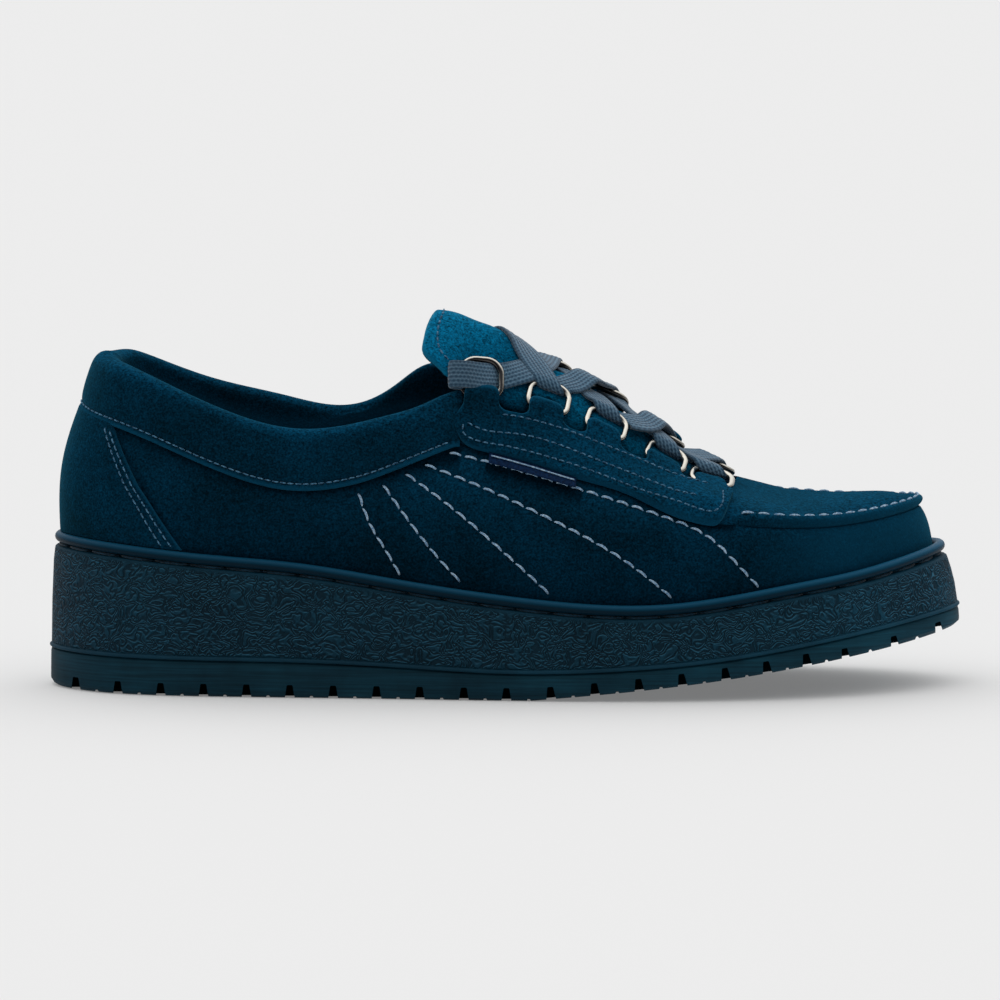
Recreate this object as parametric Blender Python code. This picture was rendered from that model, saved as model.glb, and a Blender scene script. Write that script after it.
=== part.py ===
"""Low lace-up shoe with a moccasin toe on a wedge sole, right foot, women's EU 39.

Tables and sizes are in millimetres and become metres where a mesh is made.
X runs from heel to toe, Y towards the inner (medial) side, Z up from the floor.

The shoe is worked out round its edge. A station is a place on the bead line, the
rolled welt seen from above: 0 at the back of the heel, 12 at the tip of the toe, up the
outer (lateral) side, and on to 24 back along the inner (medial) side.
"""

import math

import bmesh
import bpy
import numpy as np

MM = 0.001
SLIVER = 0.00001           # metres: edges shorter than this close up after a cut

# Driving sizes
GAP = 0.3                  # between two pieces that touch
SOLE_TOP_DROP = 1.9        # midsole's top face below the centre of the bead
BEAD_RADIUS = 1.6
BEAD_SIDES = 6
UPPER_WALL = 2.0
UPPER_INSET = BEAD_RADIUS + GAP
UPPER_FOOT = BEAD_RADIUS   # lower edge of the upper below the centre of the bead
INSOLE_THICK = 3.0
INSOLE_INSET = 5.0
LACE_WIDTH = 8.0
LACE_THICK = 1.6
LACE_OVER = 0.63           # strips that start on the inner side cross over the others
LACE_UNDER = 0.35          # and how far the others stand over the rings
LACE_CLEAR = 2.1           # its middle over the tongue, at the least
LACE_RISE = 0.6            # least rise of a strip's middle over its two ends
LACE_PAST, LACE_PAST_OVER = 0.2, 0.5    # how far a strip's ends lie inside the wires
LACE_NARROWER = 0.12       # the crossing strips, at each side
LACE_FIRST_ON, LACE_FIRST_UP = 1.5, 0.8   # shift of the ends at the top rings
WIRE_RADIUS = 0.95
THROAT_FRONT = 8.4         # station of the front end of the throat
COLLAR_FRONT = 4.76        # station where the padded collar meets the eyestay
THROAT_BACK_X, THROAT_FRONT_X = -10.0, 66.0
TOE, ROUND = 12.0, 24.0    # stations: the tip of the toe, and once round

# Bead line seen from above, and how far the sole stands out past it
PLAN = (  # station, lateral x, lateral y, medial x, medial y, flare
    (0, -134.4, 0.0, -134.4, 0.0, 3.0),
    (1, -127.0, -16.5, -127.0, 16.5, 2.6),
    (2, -106.0, -29.0, -106.0, 28.5, 2.2),
    (3, -68.0, -34.8, -68.0, 30.0, 2.0),
    (4, -36.0, -38.2, -36.0, 28.5, 2.0),
    (5, -12.0, -41.3, -12.0, 31.0, 2.0),
    (6, 10.0, -43.6, 10.0, 36.6, 2.0),
    (7, 34.0, -45.35, 35.0, 42.2, 2.0),
    (8, 60.0, -44.35, 62.0, 45.25, 2.2),
    (9, 84.0, -39.4, 88.0, 42.5, 2.6),
    (10, 105.0, -30.0, 110.0, 35.5, 3.4),
    (11, 122.5, -14.0, 126.0, 22.0, 4.8),
    (12, 131.6, 5.0, 131.6, 5.0, 6.0),
)

# Upper at each station: how far in from its foot, and how high, its girth line and its
# top edge are. From station 9 on the girth line is the moccasin seam, and the top
# columns only give the slope there. After the station come the lateral side's girth in
# and height, its top in and height, and then the same four of the medial side.
UPPER = (
    (0, 0.0, 64.0, 11.0, 98.0, 0.0, 64.0, 11.0, 98.0),
    (1, -0.2, 64.0, 8.5, 96.2, -0.2, 64.0, 8.5, 96.2),
    (2, 0.0, 62.0, 4.5, 90.8, 0.0, 62.0, 4.0, 91.5),
    (3, 0.5, 58.0, 4.4, 77.4, 0.3, 59.0, 3.0, 79.5),
    (4, 2.0, 58.0, 8.8, 81.0, 0.8, 59.5, 4.5, 83.4),
    (5, 3.5, 58.5, 15.6, 84.2, 2.0, 60.0, 9.4, 87.6),
    (6, 4.5, 59.0, 19.6, 80.0, 3.2, 60.5, 14.2, 83.4),
    (7, 5.5, 57.5, 21.4, 71.2, 5.0, 58.5, 19.0, 74.4),
    (8, 5.8, 56.0, 19.8, 61.7, 5.8, 56.4, 20.6, 62.8),
    (9, 4.5, 53.8, 16.0, 58.6, 4.6, 54.2, 17.0, 59.4),
    (10, 4.8, 53.3, 16.0, 57.6, 4.8, 53.6, 16.0, 57.9),
    (11, 5.5, 54.6, 16.0, 58.0, 5.5, 54.6, 16.0, 58.0),
    (12, 6.2, 55.4, 16.0, 58.4, 6.2, 55.4, 16.0, 58.4),
)

# Heights along the shoe: centre of the bead, outsole seam, sole's lower face, plug's crown
BEAD_HEIGHT = ((-137.0, 45.2), (-121.0, 44.1), (-92.0, 41.4), (-60.0, 38.7), (-34.0, 34.7),
               (-3.0, 30.3), (21.0, 27.9), (46.0, 27.5), (65.0, 29.6), (87.0, 33.2),
               (109.0, 36.7), (121.0, 39.2), (137.0, 42.6))
SEAM_HEIGHT = ((-137.5, 11.7), (-92.0, 11.0), (-60.0, 10.7), (-27.0, 9.4), (2.0, 8.2),
               (35.0, 9.3), (65.0, 12.1), (87.0, 15.5), (109.0, 19.4), (137.5, 24.4))
TOE_SPRING = ((8.0, 0.0), (35.0, 2.6), (58.0, 5.2), (80.0, 8.2), (102.0, 11.7),
              (120.0, 14.8), (137.5, 18.0))
PLUG_CROWN = ((66.0, 62.6), (79.5, 59.9), (94.0, 58.7), (108.0, 58.7), (116.0, 58.3),
              (120.0, 57.4), (126.0, 55.4))

# Tongue: height at the middle along the shoe, and how far its sides stand above the
# lower edges of the throat. Its free end is rounded: x of the end for a share of the
# half width.
TONGUE = (  # x, height at the middle, lift of the sides
    (77.0, 57.2, 0.0), (70.0, 58.9, 0.0), (62.0, 62.0, 0.0), (52.0, 68.6, 0.0),
    (38.0, 79.0, 0.0), (24.0, 88.6, 0.0), (10.0, 97.4, 0.0), (3.0, 102.3, 0.0),
    (-4.0, 108.0, 0.0), (-9.0, 110.3, -0.6), (-14.0, 112.4, 8.3), (-19.0, 113.4, 12.6),
    (-27.0, 113.4, 15.0),
)
TONGUE_END = ((0.0, -20.5), (0.35, -23.0), (0.7, -24.6), (0.88, -23.0), (1.0, -17.5))
TONGUE_UNDER = 1.2         # how far its edges reach in under the quarters
TONGUE_NARROW = 0.5        # and how much narrower it gets for each mm its sides lift
TONGUE_NARROW_MOST = 6.0   # lift past which it gets no narrower
TONGUE_CLEAR = 1.4         # below the throat's inner edges
TONGUE_RIDGE = 2.0         # radius that blunts the ridge along its middle
RIDGE_SHARE = 0.8          # of which this much is taken off the half width
ARCH_BACK, ARCH_FRONT = 1.45, 2.1   # steepness of the arch, under the laces and at the plug
ARCH_FROM, ARCH_OVER = 45.0, 20.0
PLUG_FALL, PLUG_TAPER = 0.1, 0.02   # under the plug its edges fall and come in, per mm
TONGUE_THICK = 4.2
TONGUE_EDGE_THIN = 0.45    # share lost at its side edges
TONGUE_END_THICK = 0.6     # share left at its free end
TONGUE_THIN_FROM, TONGUE_THIN_OVER, TONGUE_THIN_LEAST = 50.0, 20.0, 0.55   # at the plug

# Eyestay: its lower edge, and the tabs along its top edge
EYESTAY_LOWER = ((-17.0, 78.5), (-12.0, 75.2), (-5.0, 72.9), (8.0, 69.4), (22.0, 65.2),
                 (36.0, 61.0), (47.0, 56.0), (57.0, 52.6), (70.0, 51.2))
TABS = (  # x, half width, lean in degrees of the lateral ring and of the medial ring
    (-7.5, 4.7, 64.0, 64.0), (11.8, 4.4, 44.0, 46.0), (29.0, 4.3, 37.0, 34.0),
    (47.4, 4.6, 32.0, 28.0), (62.2, 4.1, 27.0, 27.0),
)
TAB_FLANK = 1.6            # either side of a tab, where its edge falls to the scallop
TAB_REACH = 7.6            # tip of a tab past the upper's throat edge, along the leather
SCALLOP_REACH = 1.7
EYESTAY_ROWS = (0.0, 0.3, 0.62)        # shares of the way up to the throat's edge
EYESTAY_BACK_X = -14.2
EYESTAY_THICK = 1.4
EYESTAY_BEVEL = 0.9        # along its upper edge, inside and out
EYESTAY_LIFT = 0.4         # and its front end stands this much higher off the upper
EYESTAY_LIFT_FROM, EYESTAY_LIFT_OVER = 50.0, 8.0
EYESTAY_SLANT = 4.0        # its front end leans back towards the sole
# and is rounded off: rise cut from its lower and upper edge at the last columns
EYESTAY_END = ({0: 0.35, 1: 0.2, 2: 0.12}, {0: 5.4, 1: 4.4, 2: 2.0})
TAB_OUTER, TAB_INNER = 2.4, -1.9   # faces of a tab, from the upper's outer face

# Wire ring: size between the centres of its wires
RING_LONG, RING_WIDE, RING_CORNER = 12.2, 12.6, 4.6
CORNER_STEPS = 2
TUNNEL_REACH = TAB_REACH - 2.7

# Outsole tread
GROOVES = (-129.2, -116.2, -103.2, -90.3, -77.4, -64.4, -51.4, -38.4, -25.5, -12.3, 0.4,
           13.8, 26.9, 40.1, 53.0, 66.0, 78.4, 90.4, 102.0, 117.1, 131.0)
GROOVE_DEPTH, GROOVE_MOUTH, GROOVE_TOP = 4.0, 3.6, 2.0
GROOVE_LONG = 140.0        # right across the sole


# Curves

def loop_curve(rows):
    """Smooth closed curve through rows, one row a station: the rows and their bends."""
    rows = np.asarray(rows, float)
    count = len(rows)
    matrix = np.zeros((count, count))
    for i in range(count):
        matrix[i, i - 1] = 1
        matrix[i, i] = 4
        matrix[i, (i + 1) % count] = 1
    jumps = np.roll(rows, -1, 0) - 2 * rows + np.roll(rows, 1, 0)
    return rows, np.linalg.solve(matrix, 6 * jumps)


def on_loop(curve, station):
    rows, bends = curve
    count = len(rows)
    whole = math.floor(station)
    t = station - whole
    i = int(whole) % count
    j = (i + 1) % count
    u = 1 - t
    return rows[i] * u + rows[j] * t + ((u**3 - u) * bends[i] + (t**3 - t) * bends[j]) / 6


def line_curve(rows):
    """Smooth open curve through (x, value, ...) rows: a function of x."""
    rows = np.asarray(sorted(rows), float)
    x, y = rows[:, 0], rows[:, 1:]
    step = np.diff(x)
    count = len(x)
    matrix = np.eye(count)
    right = np.zeros_like(y)
    for i in range(1, count - 1):
        matrix[i, i - 1:i + 2] = step[i - 1], 2 * (step[i - 1] + step[i]), step[i]
        right[i] = 6 * ((y[i + 1] - y[i]) / step[i] - (y[i] - y[i - 1]) / step[i - 1])
    bends = np.linalg.solve(matrix, right)

    def value(at):
        at = min(max(at, x[0]), x[-1])
        i = min(int(np.searchsorted(x, at, side="right")) - 1, count - 2)
        h = step[i]
        u, t = (x[i + 1] - at) / h, (at - x[i]) / h
        smooth = ((u**3 - u) * bends[i] + (t**3 - t) * bends[i + 1]) * h * h / 6
        result = y[i] * u + y[i + 1] * t + smooth
        return float(result[0]) if len(result) == 1 else result
    return value


def both_sides(table, lateral, medial):
    """Rows once round the shoe: up the lateral columns, back down the medial ones."""
    up = [[row[c] for c in lateral] for row in table]
    back = [[row[c] for c in medial] for row in table[-2:0:-1]]
    return loop_curve(up + back)


PLAN_LOOP = both_sides(PLAN, (1, 2), (3, 4))
FLARE_LOOP = both_sides(PLAN, (5,), (5,))
UPPER_LOOP = both_sides(UPPER, (1, 2, 3, 4), (5, 6, 7, 8))
bead_height = line_curve(BEAD_HEIGHT)
seam_height = line_curve(SEAM_HEIGHT)
toe_spring = line_curve(TOE_SPRING)
plug_crown = line_curve(PLUG_CROWN)
tongue_row = line_curve(TONGUE)
eyestay_lower = line_curve(EYESTAY_LOWER)
tongue_end = line_curve(TONGUE_END)


def sole_lower(x):
    return max(0.0, toe_spring(x)) if x > TOE_SPRING[0][0] else 0.0


def plan_point(station, out=0.0):
    """Point of the bead line seen from above, moved out square to it."""
    here = on_loop(PLAN_LOOP, station)
    ahead = on_loop(PLAN_LOOP, station + 0.01) - on_loop(PLAN_LOOP, station - 0.01)
    ahead /= np.linalg.norm(ahead)
    return here + out * np.array((ahead[1], -ahead[0]))


def flare(station):
    return float(on_loop(FLARE_LOOP, station)[0])


def mirrored(station):
    """Station straight across the shoe."""
    return ROUND - station


def stations(count, first=0.0, last=ROUND):
    return [first + (last - first) * i / count for i in range(count)]


# The upper's own surface

def hermite(a, b, slope_a, slope_b, t):
    return ((2 * t**3 - 3 * t**2 + 1) * a + (t**3 - 2 * t**2 + t) * slope_a
            + (3 * t**2 - 2 * t**3) * b + (t**3 - t**2) * slope_b)


def upper_profile(station):
    """Foot, girth and top of the wall at a station as (inward, height), with slopes."""
    girth_in, girth_z, top_in, top_z = on_loop(UPPER_LOOP, station)
    x = plan_point(station)[0]
    foot = np.array((0.0, bead_height(x) - UPPER_FOOT))
    girth = np.array((girth_in, girth_z))
    top = np.array((top_in, top_z))
    low, high = np.linalg.norm(girth - foot), np.linalg.norm(top - girth)
    middle = ((girth - foot) / low * high + (top - girth) / high * low) / (low + high)
    middle /= np.linalg.norm(middle)
    start = 1.5 * (girth - foot) / low - 0.5 * middle
    end = 1.15 * (top - girth) / high - 0.15 * middle
    end /= np.linalg.norm(end)
    return foot, girth, top, low, high, start, middle, end


def upper_point(station, rise):
    """Outer face of the upper: rise 0 at its foot, 1 at the girth line, 2 at the top
    edge. Past 2 it runs straight on, rise growing by 1 for each mm."""
    foot, girth, top, low, high, start, middle, end = upper_profile(station)
    if rise <= 1:
        inward, z = hermite(foot, girth, start * low, middle * low, rise)
    elif rise <= 2:
        inward, z = hermite(girth, top, middle * high, end * high, rise - 1)
    else:
        inward, z = top + end * (rise - 2)
    x, y = plan_point(station, -UPPER_INSET - inward)
    return np.array((x, y, z))


def upper_normal(station, rise):
    rise = min(rise, 2.0)
    low, high = (rise - 0.02, rise) if rise > 1.98 else (rise, rise + 0.02)
    along = upper_point(station + 0.03, rise) - upper_point(station - 0.03, rise)
    up = upper_point(station, high) - upper_point(station, low)
    normal = np.cross(along, up)
    return normal / np.linalg.norm(normal)


def off_upper(station, rise, out):
    return upper_point(station, rise) + out * upper_normal(station, rise)


def rise_at_depth(station, depth):
    """Rise of the point that lies depth mm below the top edge, along the wall."""
    high = upper_profile(station)[4]
    return 2.0 - depth / high if depth > 0 else 2.0 - depth


def rise_at_height(station, z):
    """Rise where the wall reaches height z."""
    low, high = 0.0, 2.0
    for _ in range(24):
        middle = (low + high) / 2
        if upper_point(station, middle)[2] < z:
            low = middle
        else:
            high = middle
    return (low + high) / 2


def station_at(x, rise, side):
    """Station on one side (-1 lateral, 1 medial) where the wall at this rise is at x."""
    low, high = 1.2, 11.5
    for _ in range(24):
        middle = (low + high) / 2
        place = middle if side < 0 else mirrored(middle)
        if upper_point(place, rise)[0] < x:
            low = middle
        else:
            high = middle
    return low if side < 0 else mirrored(low)


# Moccasin seam: a raised lip on the wall's upper end, outside the plug
LIP_RISES = (0.84, 0.88, 0.95, 1.0)
LIP_HEIGHTS = (0.0, 1.5, 2.3, 1.7)
LIP_FIRST = 8.5            # station where the lip comes out in front of the eyestay
PLUG_INSET = 1.0


def lip_share(station):
    """1 round the toe, fading to 0 under the eyestays."""
    along = min(station, mirrored(station))
    return min(1.0, max(0.0, (along - LIP_FIRST) / 0.4))


def plug_point(station, across):
    """Top of the toe between the seams: station on the lateral side, across 0 to 1."""
    lateral, medial = station, mirrored(station)
    a = off_upper(lateral, 1.0, 0.0)
    b = off_upper(medial, 1.0, 0.0)
    width = np.linalg.norm(b - a)
    inset = min(PLUG_INSET * lip_share(station) / max(width, 0.01), 0.4)
    t = inset + (1 - 2 * inset) * across
    arch = a + (b - a) * t
    middle = (a + b) / 2
    height = max(plug_crown(middle[0]) - middle[2], 0.0)
    arch[2] += height * (1 - abs(2 * t - 1) ** 2.3)
    # next to the throat the plug takes over the shape of the walls beside it
    share = min(1.0, max(0.0, (THROAT_FRONT + 0.8 - station) / 0.8))
    if share == 0.0:
        return arch
    band = 0.2
    if across < band:
        wall = upper_point(lateral, 1 + across / band)
    elif across > 1 - band:
        wall = upper_point(medial, 1 + (1 - across) / band)
    else:
        c, d = upper_point(lateral, 2.0), upper_point(medial, 2.0)
        t = (across - band) / (1 - 2 * band)
        wall = c + (d - c) * t
        wall[2] += (plug_crown(wall[0]) - (c[2] + d[2]) / 2) * (1 - abs(2 * t - 1) ** 2.0)
    return wall * share + arch * (1 - share)


def plug_normal(station, across):
    station = min(station, TOE - 0.15)
    side = plug_point(station, min(across + 0.02, 1)) - plug_point(station, max(across - 0.02, 0))
    ahead = plug_point(station + 0.05, across) - plug_point(station - 0.05, across)
    normal = np.cross(ahead, side)
    return normal / np.linalg.norm(normal)


# Making meshes

def new_object(name, vertices, faces, material):
    mesh = bpy.data.meshes.new(name)
    mesh.from_pydata([tuple(float(c) * MM for c in v) for v in vertices], [], faces)
    mesh.update()
    mesh.shade_smooth()
    mesh.set_sharp_from_angle(angle=math.radians(38))
    thing = bpy.data.objects.new(name, mesh)
    mesh.materials.append(material)
    SHOE.objects.link(thing)
    return thing


def shell(name, outer, inner, faces, material):
    """Closed wall between two faces with the same layout."""
    count = len(outer)
    edges = {}
    for face in faces:
        for a, b in zip(face, face[1:] + face[:1]):
            edges[(a, b)] = True
    rim = [(b, a, a + count, b + count) for a, b in edges if (b, a) not in edges]
    inside = [tuple(i + count for i in reversed(face)) for face in faces]
    return new_object(name, list(outer) + list(inner), list(faces) + inside + rim, material)


def grid_faces(columns, rows, closed=False):
    """Faces of a grid stored column by column, rows points a column."""
    faces = []
    for i in range(columns if closed else columns - 1):
        j = (i + 1) % columns
        for r in range(rows - 1):
            faces.append((i * rows + r, j * rows + r, j * rows + r + 1, i * rows + r + 1))
    return faces


def loft(name, loops, material):
    """Closed solid through loops round the shoe, with ruled lower and upper faces."""
    count = len(loops[0])
    vertices = [point for loop in loops for point in loop]
    faces = []
    for level in range(len(loops) - 1):
        for i in range(count):
            j = (i + 1) % count
            low, high = level * count, (level + 1) * count
            faces.append((low + i, low + j, high + j, high + i))
    last = (len(loops) - 1) * count
    for i in range(count // 2):
        a, b = i, i + 1
        c, d = (count - i - 1) % count, (count - i) % count
        for base, order in ((0, (a, d, c, b)), (last, (a, b, c, d))):
            face = []
            for index in order:
                if base + index not in face:
                    face.append(base + index)
            if len(face) > 2:
                faces.append(tuple(face))
    return new_object(name, vertices, faces, material)


def sweep(name, sections, material, closed=False):
    """Closed solid along matching sections, with flat ends unless it closes on itself."""
    count = len(sections[0])
    vertices = [point for section in sections for point in section]
    faces = []
    total = len(sections)
    for i in range(total if closed else total - 1):
        j = (i + 1) % total
        for r in range(count):
            s = (r + 1) % count
            faces.append((i * count + r, j * count + r, j * count + s, i * count + s))
    if not closed:
        faces.append(tuple(range(count)))
        faces.append(tuple(reversed(range((total - 1) * count, total * count))))
    return new_object(name, vertices, faces, material)


def material(name, colour, roughness, metallic=0.0):
    made = bpy.data.materials.new(name)
    made.use_nodes = True
    shader = made.node_tree.nodes["Principled BSDF"]
    shader.inputs["Base Color"].default_value = (*colour, 1.0)
    shader.inputs["Roughness"].default_value = roughness
    shader.inputs["Metallic"].default_value = metallic
    return made


def boolean(thing, other, operation):
    """Cut or join with another object, applied at once."""
    modifier = thing.modifiers.new(operation.title(), "BOOLEAN")
    modifier.operation = operation
    modifier.object = other
    modifier.solver = "EXACT"
    bpy.context.view_layer.update()
    evaluated = thing.evaluated_get(bpy.context.evaluated_depsgraph_get())
    mesh = bpy.data.meshes.new_from_object(evaluated)
    thing.modifiers.remove(modifier)
    edit = bmesh.new()
    edit.from_mesh(mesh)
    bmesh.ops.triangulate(edit, faces=edit.faces)
    bmesh.ops.remove_doubles(edit, verts=edit.verts, dist=SLIVER)
    bmesh.ops.dissolve_degenerate(edit, edges=edit.edges, dist=SLIVER)
    bmesh.ops.triangulate(edit, faces=edit.faces)
    loose = [edge for edge in edit.edges if not edge.link_faces]
    bmesh.ops.delete(edit, geom=loose, context="EDGES")
    edit.to_mesh(mesh)
    edit.free()
    thing.data = mesh


# Sole: each level stands out from the bead line by a share of the flare and a length,
# and lies a length above the outsole's lower face, the seam or the centre of the bead

OUTSOLE_LEVELS = (  # share of the flare, out, above what, up
    (0.55, -1.6, "lower face", 0.0),
    (0.8, -0.2, "lower face", 0.8),
    (1.0, 0.0, "lower face", 2.6),
    (0.94, 0.0, "seam", -GAP / 2),
)
MIDSOLE_LEVELS = (
    (0.94, 0.2, "seam", GAP / 2),
    (0.92, 0.9, "seam", 1.1),
    (0.88, 0.0, "seam", 2.2),
    (0.45, 0.4, "bead", -7.0),
    (0.15, 0.5, "bead", -4.2),
    (0.0, -0.9, "bead", -3.7),
    (0.0, -0.9, "bead", -SOLE_TOP_DROP),
)
INSOLE_LEVELS = (
    (0.0, -INSOLE_INSET, "bead", GAP - SOLE_TOP_DROP),
    (0.0, -INSOLE_INSET, "bead", GAP - SOLE_TOP_DROP + INSOLE_THICK - 0.8),
    (0.0, -INSOLE_INSET - 1.0, "bead", GAP - SOLE_TOP_DROP + INSOLE_THICK),
)
HEIGHTS = {"lower face": sole_lower, "seam": seam_height, "bead": bead_height}


def build_levels(name, levels, around, material):
    loops = []
    for flare_share, out, above, up in levels:
        loop = []
        for station in around:
            x, y = plan_point(station, flare_share * flare(station) + out)
            loop.append((x, y, HEIGHTS[above](x) + up))
        loops.append(loop)
    return loft(name, loops, material)


def build_outsole(around, rubber):
    sole = build_levels("outsole", OUTSOLE_LEVELS, around, rubber)
    for i, x in enumerate(GROOVES):
        slope = math.atan2(sole_lower(x + 3) - sole_lower(x - 3), 6.0)
        bpy.ops.mesh.primitive_cube_add(size=1.0)
        cutter = bpy.context.object
        cutter.name = "groove_cutter_%02d" % (i + 1)
        for vertex in cutter.data.vertices:
            top = vertex.co.z > 0
            wide = GROOVE_TOP if top else 2 * GROOVE_MOUTH - GROOVE_TOP
            vertex.co.x *= wide * MM
            vertex.co.y *= GROOVE_LONG * MM
            vertex.co.z = (GROOVE_DEPTH if top else -GROOVE_DEPTH) * MM
        cutter.rotation_euler = (0.0, -slope, 0.0)
        cutter.location = (x * MM, 0.0, sole_lower(x) * MM)
        move_to(cutter, CUTTERS)
        boolean(sole, cutter, "DIFFERENCE")


def build_welt(around, rubber):
    sections = []
    for station in around:
        section = []
        for i in range(BEAD_SIDES):
            turn = 2 * math.pi * (i + 0.5) / BEAD_SIDES
            x, y = plan_point(station, BEAD_RADIUS * math.cos(turn))
            height = bead_height(plan_point(station)[0]) + BEAD_RADIUS * math.sin(turn)
            section.append((x, y, height))
        sections.append(section)
    return sweep("welt", sections, rubber, closed=True)


# Upper

LOW_RISES = (0.0, 0.3, 0.58) + LIP_RISES
HIGH_RISES = (1.25, 1.5, 1.75, 2.0)
PLUG_BAND = 0.2            # share of the plug's width that faces each quarter
PLUG_MIDDLE = (0.35, 0.5, 0.65)
UPPER_STEPS = 60


def plug_columns():
    count = len(HIGH_RISES)
    side = [PLUG_BAND * c / count for c in range(count + 1)]
    return side + list(PLUG_MIDDLE) + [1 - across for across in reversed(side)]


def build_upper(leather):
    steps, half = UPPER_STEPS, UPPER_STEPS // 2
    around = stations(steps)
    throat = round(THROAT_FRONT * steps / ROUND)
    columns = plug_columns()
    last, top = len(columns) - 1, len(LOW_RISES) - 1
    outer, inner, index, faces = [], [], {}, []

    def add(key, out_point, in_point):
        index[key] = len(outer)
        outer.append(out_point)
        inner.append(in_point)

    def join(*keys):
        faces.append(tuple(index[key] for key in keys))

    lips = dict(zip(LIP_RISES, LIP_HEIGHTS))
    for i, station in enumerate(around):
        for r, rise in enumerate(LOW_RISES):
            lip = lips.get(rise, 0.0) * lip_share(station)
            add((i, r), off_upper(station, rise, lip), off_upper(station, rise, -UPPER_WALL))
        if min(i, steps - i) < throat:
            for r, rise in enumerate(HIGH_RISES):
                add((i, top + 1 + r), upper_point(station, rise),
                    off_upper(station, rise, -UPPER_WALL))
    for k in range(throat, half):
        for c, across in enumerate(columns):
            point = plug_point(around[k], across)
            add(("plug", k, c), point, point - UPPER_WALL * plug_normal(around[k], across))
    tip = plug_point(TOE - 0.02, 0.5)
    add("tip", tip, tip - UPPER_WALL * plug_normal(TOE, 0.5))

    # wall round the shoe
    for i in range(steps):
        j = (i + 1) % steps
        for r in range(top):
            join((i, r), (j, r), (j, r + 1), (i, r + 1))
    # plug, with a strip that closes it onto the seam's lip on each side
    for k in range(throat, half - 1):
        for c in range(last):
            join(("plug", k, c), ("plug", k + 1, c), ("plug", k + 1, c + 1), ("plug", k, c + 1))
        join((k, top), (k + 1, top), ("plug", k + 1, 0), ("plug", k, 0))
        join((steps - k - 1, top), (steps - k, top), ("plug", k, last), ("plug", k + 1, last))
    k = half - 1
    for c in range(last):
        join(("plug", k, c), "tip", ("plug", k, c + 1))
    join((k, top), (half, top), "tip", ("plug", k, 0))
    join((half, top), (half + 1, top), ("plug", k, last), "tip")
    join((throat, top), ("plug", throat, 0), ("plug", throat, 1))
    join((steps - throat, top), ("plug", throat, last - 1), ("plug", throat, last))

    # quarters beside the collar and throat, which end on the plug's first row
    def quarter(i, r):
        if r and i == throat:
            return ("plug", throat, r)
        if r and i == steps - throat:
            return ("plug", throat, last - r)
        return (i, top + r)

    for i in range(-throat, throat):
        a, b = i % steps, (i + 1) % steps
        for r in range(len(HIGH_RISES)):
            join(quarter(a, r), quarter(b, r), quarter(b, r + 1), quarter(a, r + 1))
    return shell("upper", outer, inner, faces, leather)


# Collar: (depth below the upper's edge, how far out from the upper's outer face)
COLLAR_DEPTH = 15.4
COLLAR_SWELL = (  # station from the heel, how far the roll swells up: lateral, medial side
    (0.0, 0.0, 0.0), (1.0, 0.0, 0.0), (2.0, 0.0, 0.9), (2.5, 0.0, 2.0), (3.0, 0.0, 2.7),
    (3.4, 0.0, 0.0), (3.7, 0.0, -1.4), (3.98, 0.0, 0.0), (4.12, 0.1, 1.8), (4.38, 1.2, 5.6),
    (4.6, 3.1, 5.8), (4.76, 5.0, 4.8),
)
COLLAR_SLIM = 0.6          # its pad gets this much thinner towards the throat
COLLAR_SLIM_FROM, COLLAR_SLIM_OVER = 3.4, 1.2    # stations
COLLAR_PAD_FROM = 2.5
OVERLAY_GAP = 0.42
COLLAR_SECTION = ((15.4, 0.42), (15.4, 1.6), (7.0, 2.4), (-0.5, 2.3), (-3.2, 0.4),
                  (-3.7, -3.0), (-1.8, -6.0), (5.0, -7.2), (14.0, -5.6), (20.0, -3.4),
                  (20.0, -2.42), (8.0, -2.42), (-0.4, -2.42), (-0.4, 0.42), (7.0, 0.42))


collar_swell = line_curve(COLLAR_SWELL)


def build_collar(leather):
    step = ROUND / UPPER_STEPS
    count = int(COLLAR_FRONT / step)
    inside = [i * step for i in range(-count, count + 1)]
    sections = []
    for station in [-COLLAR_FRONT] + inside + [COLLAR_FRONT]:
        swell = collar_swell(abs(station))[0 if station > 0 else 1]
        share = (abs(station) - COLLAR_SLIM_FROM) / COLLAR_SLIM_OVER
        slim = 1 - COLLAR_SLIM * min(1.0, max(0.0, share))
        section = []
        for depth, out in COLLAR_SECTION:
            raised = depth - swell if depth < -GAP - 0.2 else depth
            if out < -COLLAR_PAD_FROM:
                out = -COLLAR_PAD_FROM + (out + COLLAR_PAD_FROM) * slim
            section.append(off_upper(station, rise_at_depth(station, raised), out))
        sections.append(section)
    return sweep("collar", sections, leather)


# Overlays: patches between two faces worked out from the upper

def patch(name, columns, rows, place, leather):
    """Patch whose place(i, r) gives its inner and outer point, i along and r up."""
    outer, inner = [], []
    for i in range(columns):
        for r in range(rows):
            low, high = place(i, r)
            inner.append(low)
            outer.append(high)
    return shell(name, outer, inner, grid_faces(columns, rows), leather)


COUNTER_THICK = 1.3
COUNTER_EDGE = ((0.0, 2.36), (0.3, 2.14), (0.65, 1.86), (1.0, 1.46))   # share up, station


def build_counter(leather):
    edge = line_curve(COUNTER_EDGE)
    columns, rows = 17, 6

    def place(i, r):
        share = r / (rows - 1)
        station = edge(share) * (2 * i / (columns - 1) - 1)
        x = plan_point(station)[0]
        low = rise_at_height(station, bead_height(x) + BEAD_RADIUS + 0.5)
        high = rise_at_depth(station, COLLAR_DEPTH + GAP)
        rise = low + (high - low) * share
        return (off_upper(station, rise, OVERLAY_GAP),
                off_upper(station, rise, OVERLAY_GAP + COUNTER_THICK))
    return patch("heel_counter", columns, rows, place, leather)


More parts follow.
